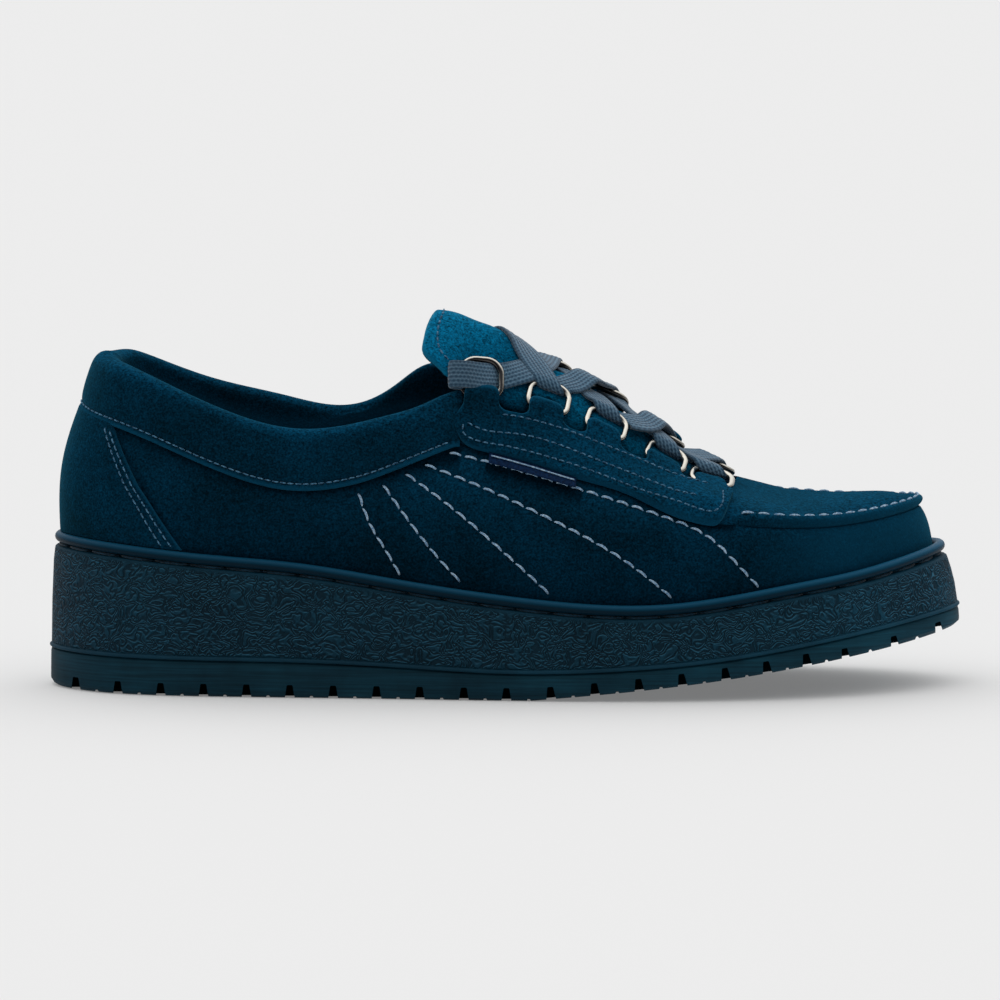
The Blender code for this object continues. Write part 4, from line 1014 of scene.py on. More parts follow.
def build_upper():
    """One shell: wall round the shoe, quarters above it, and the plug across the toe."""
    steps = len(around)
    half = steps // 2
    throat = round(THROAT_FRONT * steps / ROUND)
    near_top = (0.825, 0.838, 0.846, 0.85, 0.853, 0.858, 0.866, 0.877,
                0.89, 0.91, 0.93, 0.95, 0.965, 0.98, 1.0)
    low_rises = np.concatenate((np.linspace(0, 0.8, 26), near_top))
    high_rises = np.linspace(1, 2, 15)[1:]
    side = PLUG_BAND * np.arange(len(high_rises) + 1) / len(high_rises)
    columns = np.concatenate((side, np.linspace(PLUG_BAND, 1 - PLUG_BAND, 16)[1:-1],
                              (1 - side)[::-1]))
    last, top, n_low, n_high = len(columns) - 1, len(low_rises) - 1, len(low_rises), len(high_rises)
    S, R = np.meshgrid(around, low_rises, indexing="ij")
    lip = lip_height(R) * lip_share(S)
    low_out, low_in = off_upper(S, R, lip + ray_sink(off_upper(S, R))), off_upper(S, R, -UPPER_WALL)
    dark = [quarter_shade(low_out, S, R).ravel()]
    # Painted light on the vamp's sides, paler from station 8.2 from the heel on to the toe; it goes
    # into the layer rim.
    pale = [0.5 * bound((from_heel(S) - 8.2) / 1.5).ravel()]
    quarter = [i for i in range(steps) if min(i, steps - i) < throat]
    S, R = np.meshgrid(around[quarter], high_rises, indexing="ij")
    high_out, high_in = off_upper(S, R, ray_sink(off_upper(S, R))), off_upper(S, R, -UPPER_WALL)
    dark.append(quarter_shade(high_out, S, R).ravel())
    rows = np.arange(throat, half)
    S, A = np.meshgrid(around[rows], columns, indexing="ij")
    plug_out = plug_point(S, A)
    plug_in = plug_out - UPPER_WALL * plug_normal(S, A)
    tip_out = plug_point(TOE - 0.02, 0.5)[None]
    tip_in = tip_out - UPPER_WALL * plug_normal(TOE, 0.5)[None]
    outer = np.concatenate([a.reshape(-1, 3) for a in (low_out, high_out, plug_out, tip_out)])
    inner = np.concatenate([a.reshape(-1, 3) for a in (low_in, high_in, plug_in, tip_in)])
    high_base = steps * n_low
    plug_base = high_base + len(quarter) * n_high
    tip = len(outer) - 1
    row_of = {i: k for k, i in enumerate(quarter)}

    def low(i, r):
        return (i % steps) * n_low + r

    def plug(k, c):
        return tip if k == half else plug_base + (k - throat) * len(columns) + c

    def high(i, r):
        if r == 0:
            return low(i, top)
        if i % steps == throat:
            return plug(throat, r)
        if i % steps == steps - throat:
            return plug(throat, last - r)
        return high_base + row_of[i % steps] * n_high + r - 1

    faces = patch(low, range(steps), range(top))
    for k in range(throat, half - 1):
        faces += patch(plug, (k,), range(last))
        faces.append((low(k, top), low(k + 1, top), plug(k + 1, 0), plug(k, 0)))
        faces.append((low(steps - k - 1, top), low(steps - k, top), plug(k, last),
                      plug(k + 1, last)))
    k = half - 1
    for c in range(last):
        faces.append((plug(k, c), tip, plug(k, c + 1)))
    faces.append((low(k, top), low(half, top), tip, plug(k, 0)))
    faces.append((low(half, top), low(half + 1, top), plug(k, last), tip))
    faces.append((low(throat, top), plug(throat, 0), plug(throat, 1)))
    faces.append((low(steps - throat, top), plug(throat, last - 1), plug(throat, last)))
    faces += patch(high, range(-throat, throat), range(n_high))
    count = len(outer)
    edges = dict.fromkeys(edge for face in faces for edge in zip(face, face[1:] + face[:1]))
    rim = [(b, a, a + count, b + count) for a, b in edges if (b, a) not in edges]
    inside = [tuple(i + count for i in reversed(face)) for face in faces]
    slots = [0] * len(faces) + [1] * len(inside) + [2] * len(rim)
    shade, light = np.zeros((2, 2 * len(outer)))
    shade[:high_base + len(dark[1])] = np.concatenate(dark)
    light[:high_base] = pale[0]
    return add_mesh("quarters_and_vamp", np.concatenate((outer, inner)), faces + inside + rim,
                    [SUEDE, LINING, EDGE], slots,
                    layers={"shade": shade, "rim": light}, sharp=70)


upper = build_upper()
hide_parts("upper")


# Collar

COLLAR_SWELL = line_curve((  # station from the heel, how far the roll swells up each side
    (0.0, 0.0, 0.0), (1.0, 0.0, 1.2), (1.5, 0.0, 2.0), (2.0, 0.0, 1.7), (2.5, 0.0, 2.2),
    (3.0, 0.0, 3.0),
    (3.4, 0.0, 0.0), (3.7, 0.0, -1.4), (3.98, 0.0, 0.0), (4.12, 0.1, 1.8), (4.38, 1.2, 5.6),
    (4.6, 3.1, 6.0), (4.76, 4.2, 5.2), (4.86, 5.0, 5.0),
))
COLLAR_SLIM, COLLAR_PAD_FROM = 0.6, 2.5
BAND_RISE = 4.8            # the band's lower edge comes up towards the eyestay
SEWN_DEPTH = 13.4          # of the collar's row of stitches, where the band is pulled in
COLLAR_SECTION = ((15.4, 0.42), (15.4, 1.3), (15.0, 1.6), (13.9, 1.55), (13.4, 1.2), (12.7, 1.75),
                  (10.5, 2.3), (7.0, 2.7), (2.5, 2.9), (-0.5, 2.6), (-2.6, 1.3), (-3.7, -1.0),
                  (-3.7, -3.6), (-2.2, -5.8), (1.5, -7.0), (5.0, -7.3), (10.0, -6.6),
                  (14.0, -5.5), (18.0, -4.2), (20.0, -3.2), (20.0, -2.42), (8.0, -2.42),
                  (-0.4, -2.42), (-0.4, 0.42), (7.0, 0.42))


def chaikin(points, rounds=2):
    """Closed outline with its corners cut, round after round."""
    for _ in range(rounds):
        after = np.roll(points, -1, 0)
        points = np.stack((0.75 * points + 0.25 * after, 0.25 * points + 0.75 * after),
                          1).reshape(-1, points.shape[1])
    return points


def collar_section(station, depth, out):
    """The collar's section at a station, from its depth below the top edge and how far out."""
    front = np.abs(np.where(station > TOE, ROUND - station, station))
    swells = COLLAR_SWELL(front)
    swell = np.where(station > TOE, swells[..., 1], swells[..., 0])
    slim = 1 - COLLAR_SLIM * bound((front - 3.4) / 1.2)
    fade = bound((-depth - 0.5) / 1.5)
    band = BAND_RISE * bound((front - 3.7) / 1.1) ** 1.6 * bound((depth - 2.0) / 11)
    raised = depth - swell * fade - np.where(out > -2.3, band, 0.0)
    thin = np.clip((COLLAR_FRONT - front) / 0.16, 0.06, 1) ** 0.7
    out = np.where(out > OVERLAY_GAP, OVERLAY_GAP + (out - OVERLAY_GAP) * thin, out)
    slimmed = np.where(out < -COLLAR_PAD_FROM, -COLLAR_PAD_FROM + (out + COLLAR_PAD_FROM) * slim,
                       out)
    return off_upper(station, rise_at_depth(station, raised), slimmed)


section = chaikin(np.array(COLLAR_SECTION))
S, k = np.meshgrid(np.linspace(-COLLAR_FRONT, COLLAR_FRONT, 240) % ROUND,
                   np.arange(len(section)), indexing="ij")
points, faces = tube(collar_section(S, section[k, 0], section[k, 1]))
depth, out = section[k, 0], section[k, 1]
# Painted highlight along the band's lower edge, and painted light on the inner face of the medial
# roll, both laid as the layer rim.
lower = bound((depth - 13.6) / 1.2) * (out > 0.9)
inside = 0.45 * bound((-out - 3.5) / 2.0) * bound((depth + 2.0) / 3.0) * (S > TOE)
collar = add_mesh("padded_collar", points, faces, [SUEDE],
                  layers={"rim": 0.7 * lower + inside}, sharp=60)
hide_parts("collar")

rows = []
collar_line = np.linspace(-COLLAR_FRONT + 0.05, COLLAR_FRONT - 0.05, 600) % ROUND
path = collar_section(collar_line, np.full(600, SEWN_DEPTH), np.full(600, 1.45))
rows.append(stitches(path, upper_normal(collar_line, rise_at_depth(collar_line, SEWN_DEPTH)),
                     *COLLAR_ROW))

# Heel counter
COUNTER_THICK = 1.3
COUNTER_ROWS = (1.1 / 18.0, 2.7 / 18.0)     # stations behind its edge: 1.3 to 2.3 and 3.0 to 5.4 mm
COUNTER_LONG, COUNTER_SOFT = 90.0, 0.9      # its ends are rounded over a hundredth of its length


def counter_rise(station, share):
    """Rise of a place a share of the way up the heel counter."""
    x = plan_point(station)[..., 0]
    low = rise_at_height(station, bead_height(x) + BEAD_RADIUS + 0.3)
    high = rise_at_depth(station, np.full_like(station, COLLAR_DEPTH - 0.5))
    return low + (high - low) * share


U, V = np.meshgrid(np.linspace(-1, 1, 150), np.linspace(0, 1, 36), indexing="ij")
U = np.sign(U) * (1 - (1 - np.abs(U)) ** 1.25)
S = COUNTER_EDGE(V) * U
R = counter_rise(S % ROUND, V)
across = (U + 1) / 2
ends = quarter_round(np.minimum(across, 1 - across) * COUNTER_LONG / COUNTER_SOFT)
thick = COUNTER_THICK * ends
outer = off_upper(S % ROUND, R, OVERLAY_GAP + thick)
inner = off_upper(S % ROUND, R, OVERLAY_GAP - 0.4)
# Painted highlight over the overlay's rounded ends, laid as the layer rim.
edge = 1 - ends
counter = add_mesh("heel_overlay", *sheet(outer, inner), [SUEDE],
                   layers={"rim": np.concatenate((edge.ravel(), edge.ravel() * 0))}, sharp=60)
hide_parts("heel_counter")
for side in (-1, 1):
    for back in COUNTER_ROWS:
        share = np.linspace(0.02, 0.97, 80)
        station = side * (COUNTER_EDGE(share) - back)
        rise = counter_rise(station % ROUND, share)
        rows.append(stitches(off_upper(station % ROUND, rise, OVERLAY_GAP + COUNTER_THICK),
                             upper_normal(station % ROUND, rise), *OVERLAY_ROW))


# Eyestays

def tab_reach(x):
    """How far the edge stands past the throat: rounded tabs with round scallops between."""
    reach = np.full_like(x, SCALLOP_REACH)
    for middle, half, *_ in TABS:
        d = np.abs(x - middle)
        over = np.clip(d - (half - TAB_ROUND), 0, TAB_ROUND)
        top = TAB_REACH - TAB_ROUND + np.sqrt(TAB_ROUND**2 - over**2)
        under = np.clip(half + SCALLOP_ROUND - d, 0, SCALLOP_ROUND)
        foot = SCALLOP_REACH + SCALLOP_ROUND - np.sqrt(SCALLOP_ROUND**2 - under**2)
        reach = np.maximum(reach, np.where(d < half, top, foot))
    return reach


EYESTAY_FIRST, EYESTAY_LAST, EYESTAY_CORNER = -15.6, 68.6, 5.0
EDGE_HALF = 0.7            # half the thickness of its edge between the tabs


def stay_gap(x):
    """Gap under the eyestay, wider towards its front."""
    return OVERLAY_GAP + 0.4 * bound((x - 50.0) / 8.0)


def build_eyestay(side):
    first, final = EYESTAY_FIRST, EYESTAY_LAST
    marks = [first, final]
    for middle, half, *_ in TABS:
        near = np.array((-3.0, -2.6, -2.1, -1.5, -0.9, -0.4, -0.12, -0.01, 0.01, 0.1, 0.3, 0.7,
                         1.2, 1.8, 2.4))
        marks += list(middle - half + near) + list(middle + half - near)
    marks += list(np.linspace(first, final, 70))
    for d in (0.1, 0.3, 0.7, 1.2):
        marks += [first + d, final - d]
    x = np.unique(np.clip(np.round(marks, 3), first, final))
    radius = EYESTAY_CORNER
    near = np.clip(radius - np.minimum(x - first, final - x), 0, radius)
    cut_off = radius - np.sqrt(np.clip(radius**2 - near**2, 0, None))
    low = rise_at_height(station_at(x, 1.8, side), eyestay_lower(x) + cut_off)
    reach = tab_reach(x) - cut_off * 0.9
    high = wall_high(station_at(x, 1.8, side))
    gap = stay_gap(x)
    swell = bound((reach - SCALLOP_REACH) / 3.0) * bound((THROAT_FRONT_X - x) / 2)
    half = EDGE_HALF + (TAB_OUTER - TAB_INNER - 2 * EDGE_HALF) / 2 * swell
    centre = (gap + EDGE_HALF) * (1 - swell) + (TAB_OUTER + TAB_INNER) / 2 * swell
    flat = gap + EYESTAY_THICK
    rises, outs = [], []

    def above(reach):
        """Rise of a place reach mm above the top edge."""
        return 2.0 + np.where(reach > 0, reach, reach / high)

    body = above(np.minimum(reach - half, 0.0))
    for t in (0.0, 0.012, 0.03, 0.06, 0.12, 0.2, 0.3, 0.4, 0.5, 0.6, 0.7, 0.8, 0.9, 1.0):
        rises.append(low + (body - low) * t)
        outs.append(gap + EYESTAY_THICK * math.sqrt(1 - (1 - min(t / 0.05, 1)) ** 2))
    for t in (0.25, 0.5, 0.75, 1.0):
        rises.append(body + (above(reach - half) - body) * t)
        outs.append(flat + (centre + half - flat) * (3 * t**2 - 2 * t**3))
    for turn in np.linspace(90, -90, 11)[1:]:
        rises.append(above(reach - half + half * math.cos(math.radians(turn))))
        outs.append(centre + half * math.sin(math.radians(turn)))
    for t in (0.6, 0.25):
        rises.append(body + (above(reach - half) - body) * t)
        outs.append(centre - half)
    for t in (1.0, 0.5, 0.0):
        rises.append(low + (body - low) * t)
        outs.append(gap)
    rises, outs = np.array(rises).T, np.array(outs).T
    place = np.minimum(rises, 2.0)
    lean = 2.5 * bound((x - 56.0) / 12.0)[:, None] * (2.0 - place)
    station = station_at(x[:, None] - lean, place, side)
    rings = off_upper(station, rises, outs)
    # Painted highlights along the lower edge and over the rolled top edge, laid as the layer rim;
    # painted shade on the inner side.
    edges = np.zeros(rings.shape[:2])
    edges[:, :4] = (0.7, 0.6, 0.4, 0.15)
    edges[:, 17:22] = (0.2, 0.6, 0.9, 0.9, 0.5)
    shade = np.zeros(rings.shape[:2])
    shade[:, 22:] = 0.7     # from the middle of the rolled edge on, its inner side
    if side > 0:
        rings, edges, shade = rings[::-1], edges[::-1], shade[::-1]
    points, faces = tube(rings)
    name = "eyestay_%s" % ("outer_side" if side < 0 else "inner_side")
    thing = add_mesh(name, points, faces, [SUEDE],
                     layers={"rim": edges.ravel(), "shade": shade.ravel()}, sharp=60)
    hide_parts("eyestay_lateral" if side < 0 else "eyestay_medial")


EYESTAY_ROWS = (
    ((-1.5, 83.1), (6.7, 81.8), (14.2, 79.5), (28.7, 73.6), (44.1, 67.0), (53.5, 63.1),
     (62.0, 60.4)),
    ((-11.8, 81.2), (-7.0, 78.9), (1.5, 77.6), (9.1, 76.1), (24.8, 70.3), (44.1, 62.6),
     (54.4, 59.2), (59.5, 58.3)),
    ((-12.6, 81.0), (-12.8, 78.5), (-10.0, 76.3), (-2.4, 74.5), (8.5, 71.9), (26.0, 66.3),
     (43.2, 60.0), (52.6, 57.2), (59.8, 54.9), (62.8, 55.0), (64.6, 56.6), (64.8, 59.2)),
)
for side in (-1, 1):
    build_eyestay(side)
    for table in EYESTAY_ROWS:
        path = smooth_path(np.asarray(table, float), 240)
        station, rise = on_side(path[:, 0], path[:, 1], side)
        gap = stay_gap(path[:, 0]) + EYESTAY_THICK
        rows.append(stitches(off_upper(station, rise, gap), upper_normal(station, rise),
                             *EYESTAY_ROW))


# Tongue

def tongue_edge(x, side):
    """The tongue's edge under the throat: x, half width, height and the arch's power."""
    station = station_at(np.clip(x, THROAT_BACK_X, THROAT_FRONT_X), 2.0, side)
    edge = off_upper(station, 2.0, -UPPER_WALL - TONGUE_CLEAR)
    half, z = np.abs(edge[..., 1]), edge[..., 2]
    power = 1.45 + 0.65 * bound((x - 45.0) / 20.0)
    lift = tongue_row(x)[..., 1] * (MEDIAL_LIFT if side > 0 else 1.0)
    lift = lift - np.maximum(x - THROAT_FRONT_X, 0.0) * 0.1
    return np.stack((x, half, z + lift, power), -1)


TONGUE_X = np.array([row[0] for row in TONGUE])
tongue_sides = {side: line_curve(tongue_edge(TONGUE_X, side)) for side in (-1, 1)}


def tongue_arch(x, y_sign):
    sides = np.where((y_sign < 0)[..., None], tongue_sides[-1](x), tongue_sides[1](x))
    return sides[..., 0], sides[..., 1], sides[..., 2]


def tongue_top(x, y):
    x, y = alike(x, y)
    middle = tongue_row(x)[..., 0]
    half, edge_z, power = tongue_arch(x, y)
    blunt = np.sqrt(y**2 + TONGUE_RIDGE**2) - TONGUE_RIDGE
    return middle - (middle - edge_z) * (blunt / (half - RIDGE_SHARE * TONGUE_RIDGE)) ** power


def tongue_puff(x, y):
    """How far the padding swells up where the lace crosses over the ridge."""
    swell = np.zeros(np.broadcast(x, y).shape)
    for a, b in zip(TABS, TABS[1:]):
        middle = (a[0] + b[0]) / 2 + PUFF_AHEAD
        swell += PUFF_HIGH * np.exp(-((x - middle) / PUFF_LONG) ** 2 - (y / PUFF_WIDE) ** 2)
    return swell


def tongue_point(along, share):
    """A place on the tongue's top face: along from its end, share from side to side."""
    along, share = alike(along, share)
    first, last = tongue_end(np.abs(share)), TONGUE[0][0]
    x = first + (last - first) * along
    half = tongue_arch(x, share)[0] + TONGUE_UNDER
    half = half - TONGUE_NARROW * np.clip(tongue_row(x)[..., 1], 0.0, 5.0)
    half = half * (1 - 0.02 * np.maximum(x - THROAT_FRONT_X, 0.0))
    y = share * half
    return np.stack((x, y, tongue_top(x, y) + tongue_puff(x, y)), -1)


def tongue_normal(along, share):
    step = 0.02
    ahead = (tongue_point(np.minimum(along + step, 1), share)
             - tongue_point(np.maximum(along - step, 0), share))
    side = (tongue_point(along, np.minimum(share + step, 1))
            - tongue_point(along, np.maximum(share - step, -1)))
    return unit(np.cross(ahead, side))


A, C = np.meshgrid(np.linspace(0, 1, 110) ** 1.3, np.sin(np.linspace(-1, 1, 61) * math.pi / 2),
                   indexing="ij")
top = tongue_point(A, C)
normal = tongue_normal(A, C)
thick = TONGUE_THICK * (1 - 0.45 * np.abs(C) ** 3) * np.clip(1 - (top[..., 0] - 50) / 20, 0.55, 1)
from_end = np.minimum((top[..., 0] - tongue_end(np.abs(C))), (1 - np.abs(C)) * 24)
soft = 0.25 + 0.75 * quarter_round(from_end / 1.6)
middle = top - normal * thick[..., None] / 2
outer = middle + normal * (thick * 0.5 * soft)[..., None]
inner = middle - normal * (thick * 0.5 * soft)[..., None]
points, faces = sheet(outer, inner)
each = (A.shape[0] - 1) * (A.shape[1] - 1)
slots = [0] * each + [1] * each + [0] * (len(faces) - 2 * each)
# Painted shade: the tongue darker from x = -8 on forward, darker still low down beside the eyestays,
# and darkest in the pockets under the scallops.
edge_z = tongue_arch(top[..., 0], C)[1]
under = bound(1 - (top[..., 2] - edge_z) / 9.0) * bound((top[..., 0] + 12.0) / 8)
under = (0.75 * under ** 0.8 + 0.3 * bound((top[..., 0] + 8.0) / 12)).clip(0, MOST_SHADE)
for side in (-1, 1):
    throat = off_upper(station_at(top[..., 0], 2.0, side), 2.0, 0.0)
    reach = tab_reach(top[..., 0])
    past = np.linalg.norm((top - throat)[..., 1:], axis=-1) - reach
    open_share = (TAB_REACH - reach) / (TAB_REACH - SCALLOP_REACH)
    pocket = bound(1 - (past - 3.0) / (0.7 + SCALLOP_SHADE * open_share)) ** 0.7
    here = (C * side > 0.05) & (top[..., 0] > -15.0) & (top[..., 0] < THROAT_FRONT_X)
    under = np.maximum(under, np.where(here, 0.97 * pocket, 0.0))
# Painted highlight along the tongue's rounded end, laid as the layer rim.
near_end = bound(1 - from_end / 1.2)
tongue = add_mesh("tongue_pad", points, faces, [TONGUE_SUEDE, LINING], slots, sharp=70,
                  layers={"shade": np.tile(under.ravel(), 2),
                          "rim": np.tile(near_end.ravel(), 2)})
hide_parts("tongue")

tongue_row_marks = smooth_path(np.array((
    (0.13, -0.93), (0.092, -0.91), (0.064, -0.85), (0.044, -0.7), (0.034, -0.4), (0.031, 0.0),
    (0.034, 0.4), (0.044, 0.7), (0.064, 0.85), (0.092, 0.91), (0.13, 0.93))), 300)
row_top = tongue_point(tongue_row_marks[:, 0], tongue_row_marks[:, 1])
row_up = tongue_normal(tongue_row_marks[:, 0], tongue_row_marks[:, 1])
rows.append(stitches(row_top, row_up, *OVERLAY_ROW))

fine = add_mesh("fine_stitches", *joined(rows), [THREAD])

# Moccasin seam and decorative rows
pale = []
for points, normal in ray_paths:
    pale.append(stitches(points - 0.3 * normal, normal, *RAY_ROW, arch=0.35))
seam = np.linspace(8.45, ROUND - 8.45, 400)
lip = np.full_like(seam, 1.9)
path = off_upper(seam, 0.975, lip)
pale.append(stitches(path, upper_normal(seam, np.full_like(seam, 0.975)) + (0, 0, 1.0), *SEAM_ROW))
decor = add_mesh("pale_stitches", *joined(pale), [PALE_THREAD])


# Rings

def ring_frame(side, number):
    """Middle of a ring's straight inner bar, and unit vectors ahead, across the ring and up."""
    x, lean = TABS[number][0], math.radians(TABS[number][2 if side < 0 else 3])
    rise = 2.0 + TUNNEL_REACH
    middle = off_upper(station_at(x, 2.0, side), rise, (TAB_INNER + TAB_OUTER) / 2)
    ahead = unit(upper_point(station_at(x + 3, 2.0, side), rise)
                 - upper_point(station_at(x - 3, 2.0, side), rise))
    over = np.array((0.0, -side * math.cos(lean), math.sin(lean)))
    over = unit(over - ahead * np.dot(over, ahead))
    up = np.cross(ahead, over)
    return middle, ahead, over, up * np.sign(up[2])


for side in (-1, 1):
    for number in range(len(TABS)):
        middle, ahead, over, up = ring_frame(side, number)
        points = []
        flat_a, flat_b = RING_LONG / 2 - RING_CORNER, RING_WIDE / 2 - RING_CORNER
        for corner, (sa, sb) in enumerate(((1, -1), (1, 1), (-1, 1), (-1, -1))):
            for turn in math.pi / 2 * (corner - 1 + np.arange(9) / 8):
                a = sa * flat_a + RING_CORNER * math.cos(turn)
                b = sb * flat_b + RING_CORNER * math.sin(turn)
                points.append(middle + ahead * a + over * (b + RING_WIDE / 2))
        points, faces = wire(np.array(points), WIRE_RADIUS, 12, True)
        name = "%s_%d" % ("lateral" if side < 0 else "medial", number + 1)
        ring = add_mesh("wire_ring_" + name, points, faces, [STEEL])
        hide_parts("ring_" + name)


# Lace

ROUND_WIRE = WIRE_RADIUS + LACE_THICK / 2 + 0.05
DRIFT = 1.6                   # the lace slips this far along the wire for each radian round it
CROSSING_RISE = 1.8           # of the strand that runs over the other one
LACE_OFF_TONGUE = 0.2
END_SHARE = 0.35              # of a strand, where it turns to lie along its ring


def tongue_up(x, y):
    """Upward normal of the tongue's top face."""
    dx = (tongue_top(x + 0.5, y) - tongue_top(x - 0.5, y))
    dy = (tongue_top(x, y + 0.5) - tongue_top(x, y - 0.5))
    return unit(np.stack((-dx, -dy, np.ones_like(dx)), -1))


def lace_end(side, number, way):
    """Points from the crown's outer side to its top or underside, and the way across."""
    middle, ahead, over, up = ring_frame(side, number)
    crown = middle + over * RING_WIDE
    flip = 1.0 if way == "top" else -1.0
    points = []
    for turn in np.radians((-10, 20, 50, 80)):
        aside = -flip * DRIFT * turn * ahead
        points.append(crown + ROUND_WIRE * (-math.cos(turn) * over
                                            + flip * math.sin(turn) * up) + aside)
    return points, ahead * (LACE_WIDTH / 2 + LACE_SPREAD)


def loose_end(side):
    """The lace's own end: folded over beside the first ring and out through it."""
    middle, ahead, over, up = ring_frame(side, 0)
    if side < 0:
        places = ((-5.5, 6.6, 0.5), (-8.8, 6.5, 0.5), (-10.2, 6.5, 1.3), (-9.3, 6.5, 2.3),
                  (-5.0, 6.6, 2.6), (0.5, 6.9, 0.9), (5.2, 8.0, -1.7), (8.0, 9.0, -2.4))
        across = over
    else:
        places = ((0.0, -4.6, 2.2), (0.0, -5.6, 2.9), (0.0, -4.6, 3.7), (0.0, 0.5, 3.7),
                  (0.0, 5.0, 2.2), (0.3, 9.0, -0.6), (0.7, 12.0, -1.8))
        across = ahead
    points = [middle + ahead * a + over * o + up * u for a, o, u in places]
    return points, across * (LACE_WIDTH / 2 + 0.3)


def taut(t, floor):
    """The least height that bends only downwards and stays over the floor."""
    hull = [0]
    for i in range(1, len(t)):
        while len(hull) > 1 and ((floor[i] - floor[hull[-2]]) * (t[hull[-1]] - t[hull[-2]])
                                 >= (floor[hull[-1]] - floor[hull[-2]]) * (t[i] - t[hull[-2]])):
            hull.pop()
        hull.append(i)
    return np.interp(t, t[hull], floor[hull])


def strand(head, tail, raised, bow=(0.0, 0.0), loop=(0.0, 0.5)):
    """Lace from one ring to another: (side, number, way) at each end; bow bends its run,
    loop is how far it stands up and where."""
    ends, ways = [], []
    for side, number, way in (head, tail):
        points, across = loose_end(side) if way == "loose" else lace_end(side, number, way)
        ends.append(np.array(points))
        ways.append(across)
    a, b = ends[0][-1], ends[1][-1]
    t = np.linspace(0.0, 1.0, 61)
    middle = a + (b - a) * t[:, None]
    middle[:, :2] += np.sin(math.pi * t)[:, None] * bow
    floor = tongue_top(middle[:, 0], middle[:, 1]) + LACE_THICK / 2 + LACE_OFF_TONGUE
    if raised:
        floor = floor + CROSSING_RISE * np.exp(-((t - 0.5) / 0.2) ** 2)
    floor[0], floor[-1] = a[2], b[2]
    middle[:, 2] = taut(t, floor) + loop[0] * np.exp(-((t - loop[1]) / 0.17) ** 2)
    middle, t = middle[3:-3], t[3:-3]
    path = np.concatenate((ends[0], middle, ends[1][::-1]))
    n_head, n_tail = len(ends[0]), len(ends[1])
    smooth = evened(resample(path, 0.35), 12)
    reach = distances(path)
    share = np.concatenate((np.zeros(n_head), t, np.ones(n_tail)))
    share = np.interp(np.linspace(0, reach[-1], len(smooth)), reach, share)
    near = bound(1 - share / END_SHARE) ** 2
    far = bound(1 - (1 - share) / END_SHARE) ** 2
    lying = unit(np.gradient(smooth, axis=0) * (1 - near - far)[:, None]
                 + unit(b - a) * (near + far)[:, None])
    normal = unit(tongue_up(smooth[:, 0], smooth[:, 1]) + (0.0, 0.0, 0.2))
    square = unit(np.cross(normal, lying)) * (LACE_WIDTH / 2 + LACE_SPREAD)
    sides = [way * np.sign(np.dot(way, square[len(square) // 2])) for way in ways]
    across = (square * (1 - near - far)[:, None] + sides[0] * near[:, None]
              + sides[1] * far[:, None])
    return smooth, evened(across, 10)


def lace_mesh(pieces):
    parts, u, v = [], [], []
    steps = 30
    turn = (np.arange(2 * steps) + 0.5) * math.pi / steps
    c, s = np.cos(turn), np.sin(turn)
    wide = np.sign(c) * np.abs(c) ** 0.7
    tall = np.sign(s) * np.abs(s) ** 0.55
    tall *= 1 - 0.16 * np.abs(np.sin(wide * LACE_RIBS * math.pi)) ** 3
    for path, across in pieces:
        ahead = unit(np.gradient(path, axis=0))
        normal = unit(np.cross(across, ahead))
        ring = (path[:, None] + wide[None, :, None] * across[:, None]
                + tall[None, :, None] * LACE_THICK / 2 * normal[:, None])
        along = distances(path)
        parts.append(tube(ring))
        u.append(np.broadcast_to(wide[None, :], ring.shape[:2]).ravel())
        v.append(np.broadcast_to(along[:, None], ring.shape[:2]).ravel())
    points, faces = joined(parts)
    return add_mesh("woven_lace", points, faces, [LACE],
                    layers={"across": np.concatenate(u), "along": np.concatenate(v)})


pieces = []
last = len(TABS) - 1
for number in range(last):
    for side in (-1, 1):
        raised = (side > 0) == (number in (0, last - 1))
        way = "loose" if number == 0 else "under"
        bow = LACE_BOWS.get((side, number), (0.0, 0.0))
        loop = LACE_LOOPS.get((side, number), (0.0, 0.5))
        pieces.append(strand((side, number, way), (-side, number + 1, "top"), raised, bow, loop))
pieces.append(strand((-1, last, "under"), (1, last, "under"), False))
lace = lace_mesh(pieces)
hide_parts("lace")


# Tag under the lateral eyestay: a plain folded woven tab

TAG_BACK_X, TAG_LONG, TAG_HANG = -4.8, 26.2, 2.1
TAG_EDGE_X = (-4.2, 20.8)     # its pale edge starts and ends here
U, V = np.meshgrid(np.linspace(0, 1, 40), np.linspace(0, 1, 20), indexing="ij")
x = TAG_BACK_X + TAG_LONG * U
S = station_at(x, 1.5, -1)
high = wall_high(S)
top_rise = rise_at_height(S, eyestay_lower(x) - GAP)
turn = V * 2 * math.pi
hang = TAG_HANG * (1 - np.cos(turn))
out = 0.75 + 0.42 * np.sin(turn) + 0.55 * hang / 2
points, faces = tube(off_upper(S, top_rise - (hang - 0.6) / high, out))
x = np.linspace(*TAG_EDGE_X, 60)
S = station_at(x, 1.5, -1)
edge = off_upper(S, rise_at_height(S, eyestay_lower(x) - GAP - 0.9), 2.0)
points, more = joined([(points, faces), wire(edge, 0.2, 8)])
tag = add_mesh("side_tag", points, more, [LABEL, PALE_THREAD],
               [0] * len(faces) + [1] * (len(more) - len(faces)))
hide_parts("tag")


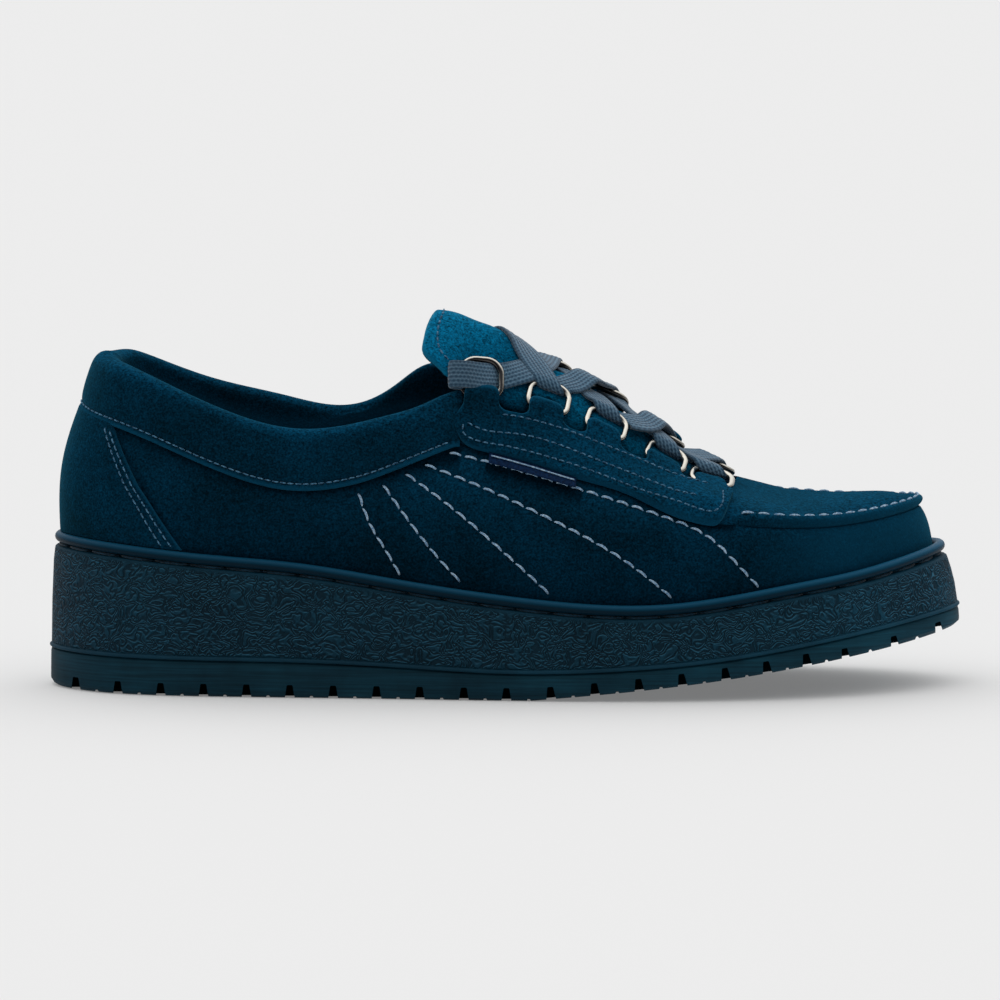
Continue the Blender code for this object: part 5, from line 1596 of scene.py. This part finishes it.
# Floor, light and camera

def floor_material():
    n = Nodes("floor")
    return n.finish(Base_Color=(0.64, 0.64, 0.64, 1.0), Roughness=0.6, Specular_IOR_Level=0.0,
                    Emission_Color=(1.0, 1.0, 1.0, 1.0), Emission_Strength=0.18)


mesh = bpy.data.meshes.new("floor")
mesh.from_pydata([(-9, -9, 0), (9, -9, 0), (9, 9, 0), (-9, 9, 0)], [], [(0, 1, 2, 3)])
mesh.materials.append(floor_material())
ground = bpy.data.objects.new("floor", mesh)
bpy.context.scene.collection.objects.link(ground)
ground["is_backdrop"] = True


def studio():
    """Soft light from above and behind; little from the front."""
    world = bpy.data.worlds.new("studio")
    bpy.context.scene.world = world
    world.use_nodes = True
    tree = world.node_tree
    sky = tree.nodes["Background"]
    light = tree.nodes.new("ShaderNodeTexCoord").outputs["Generated"]
    for kind, operation, value in (("ShaderNodeVectorMath", "DOT_PRODUCT", (-0.15, 0.5, 1.62)),
                                   ("ShaderNodeMath", "ADD", -0.05),
                                   ("ShaderNodeMath", "MAXIMUM", 0.06)):
        node = tree.nodes.new(kind)
        node.operation = operation
        node.inputs[1].default_value = value
        tree.links.new(light, node.inputs[0])
        light = node.outputs["Value"]
    tree.links.new(light, sky.inputs["Strength"])
    sky.inputs["Color"].default_value = (1.0, 1.0, 1.0, 1.0)


studio()

ELEVATION = math.radians(6.0)
DISTANCE = 3.0
VIEW_WIDTH = 0.3022
TARGET = np.array((-0.0015, 0.0, 0.05576))
camera_data = bpy.data.cameras.new("camera")
camera_data.sensor_width = 36.0
camera_data.lens = 36.0 * DISTANCE / VIEW_WIDTH
camera_data.clip_end = 60.0
camera = bpy.data.objects.new("camera", camera_data)
bpy.context.scene.collection.objects.link(camera)
camera.location = TARGET + DISTANCE * np.array((0, -math.cos(ELEVATION), math.sin(ELEVATION)))
camera.rotation_euler = (math.pi / 2 - ELEVATION, 0, 0)
bpy.context.scene.camera = camera
bpy.context.scene.view_settings.view_transform = "Standard"

low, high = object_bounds()
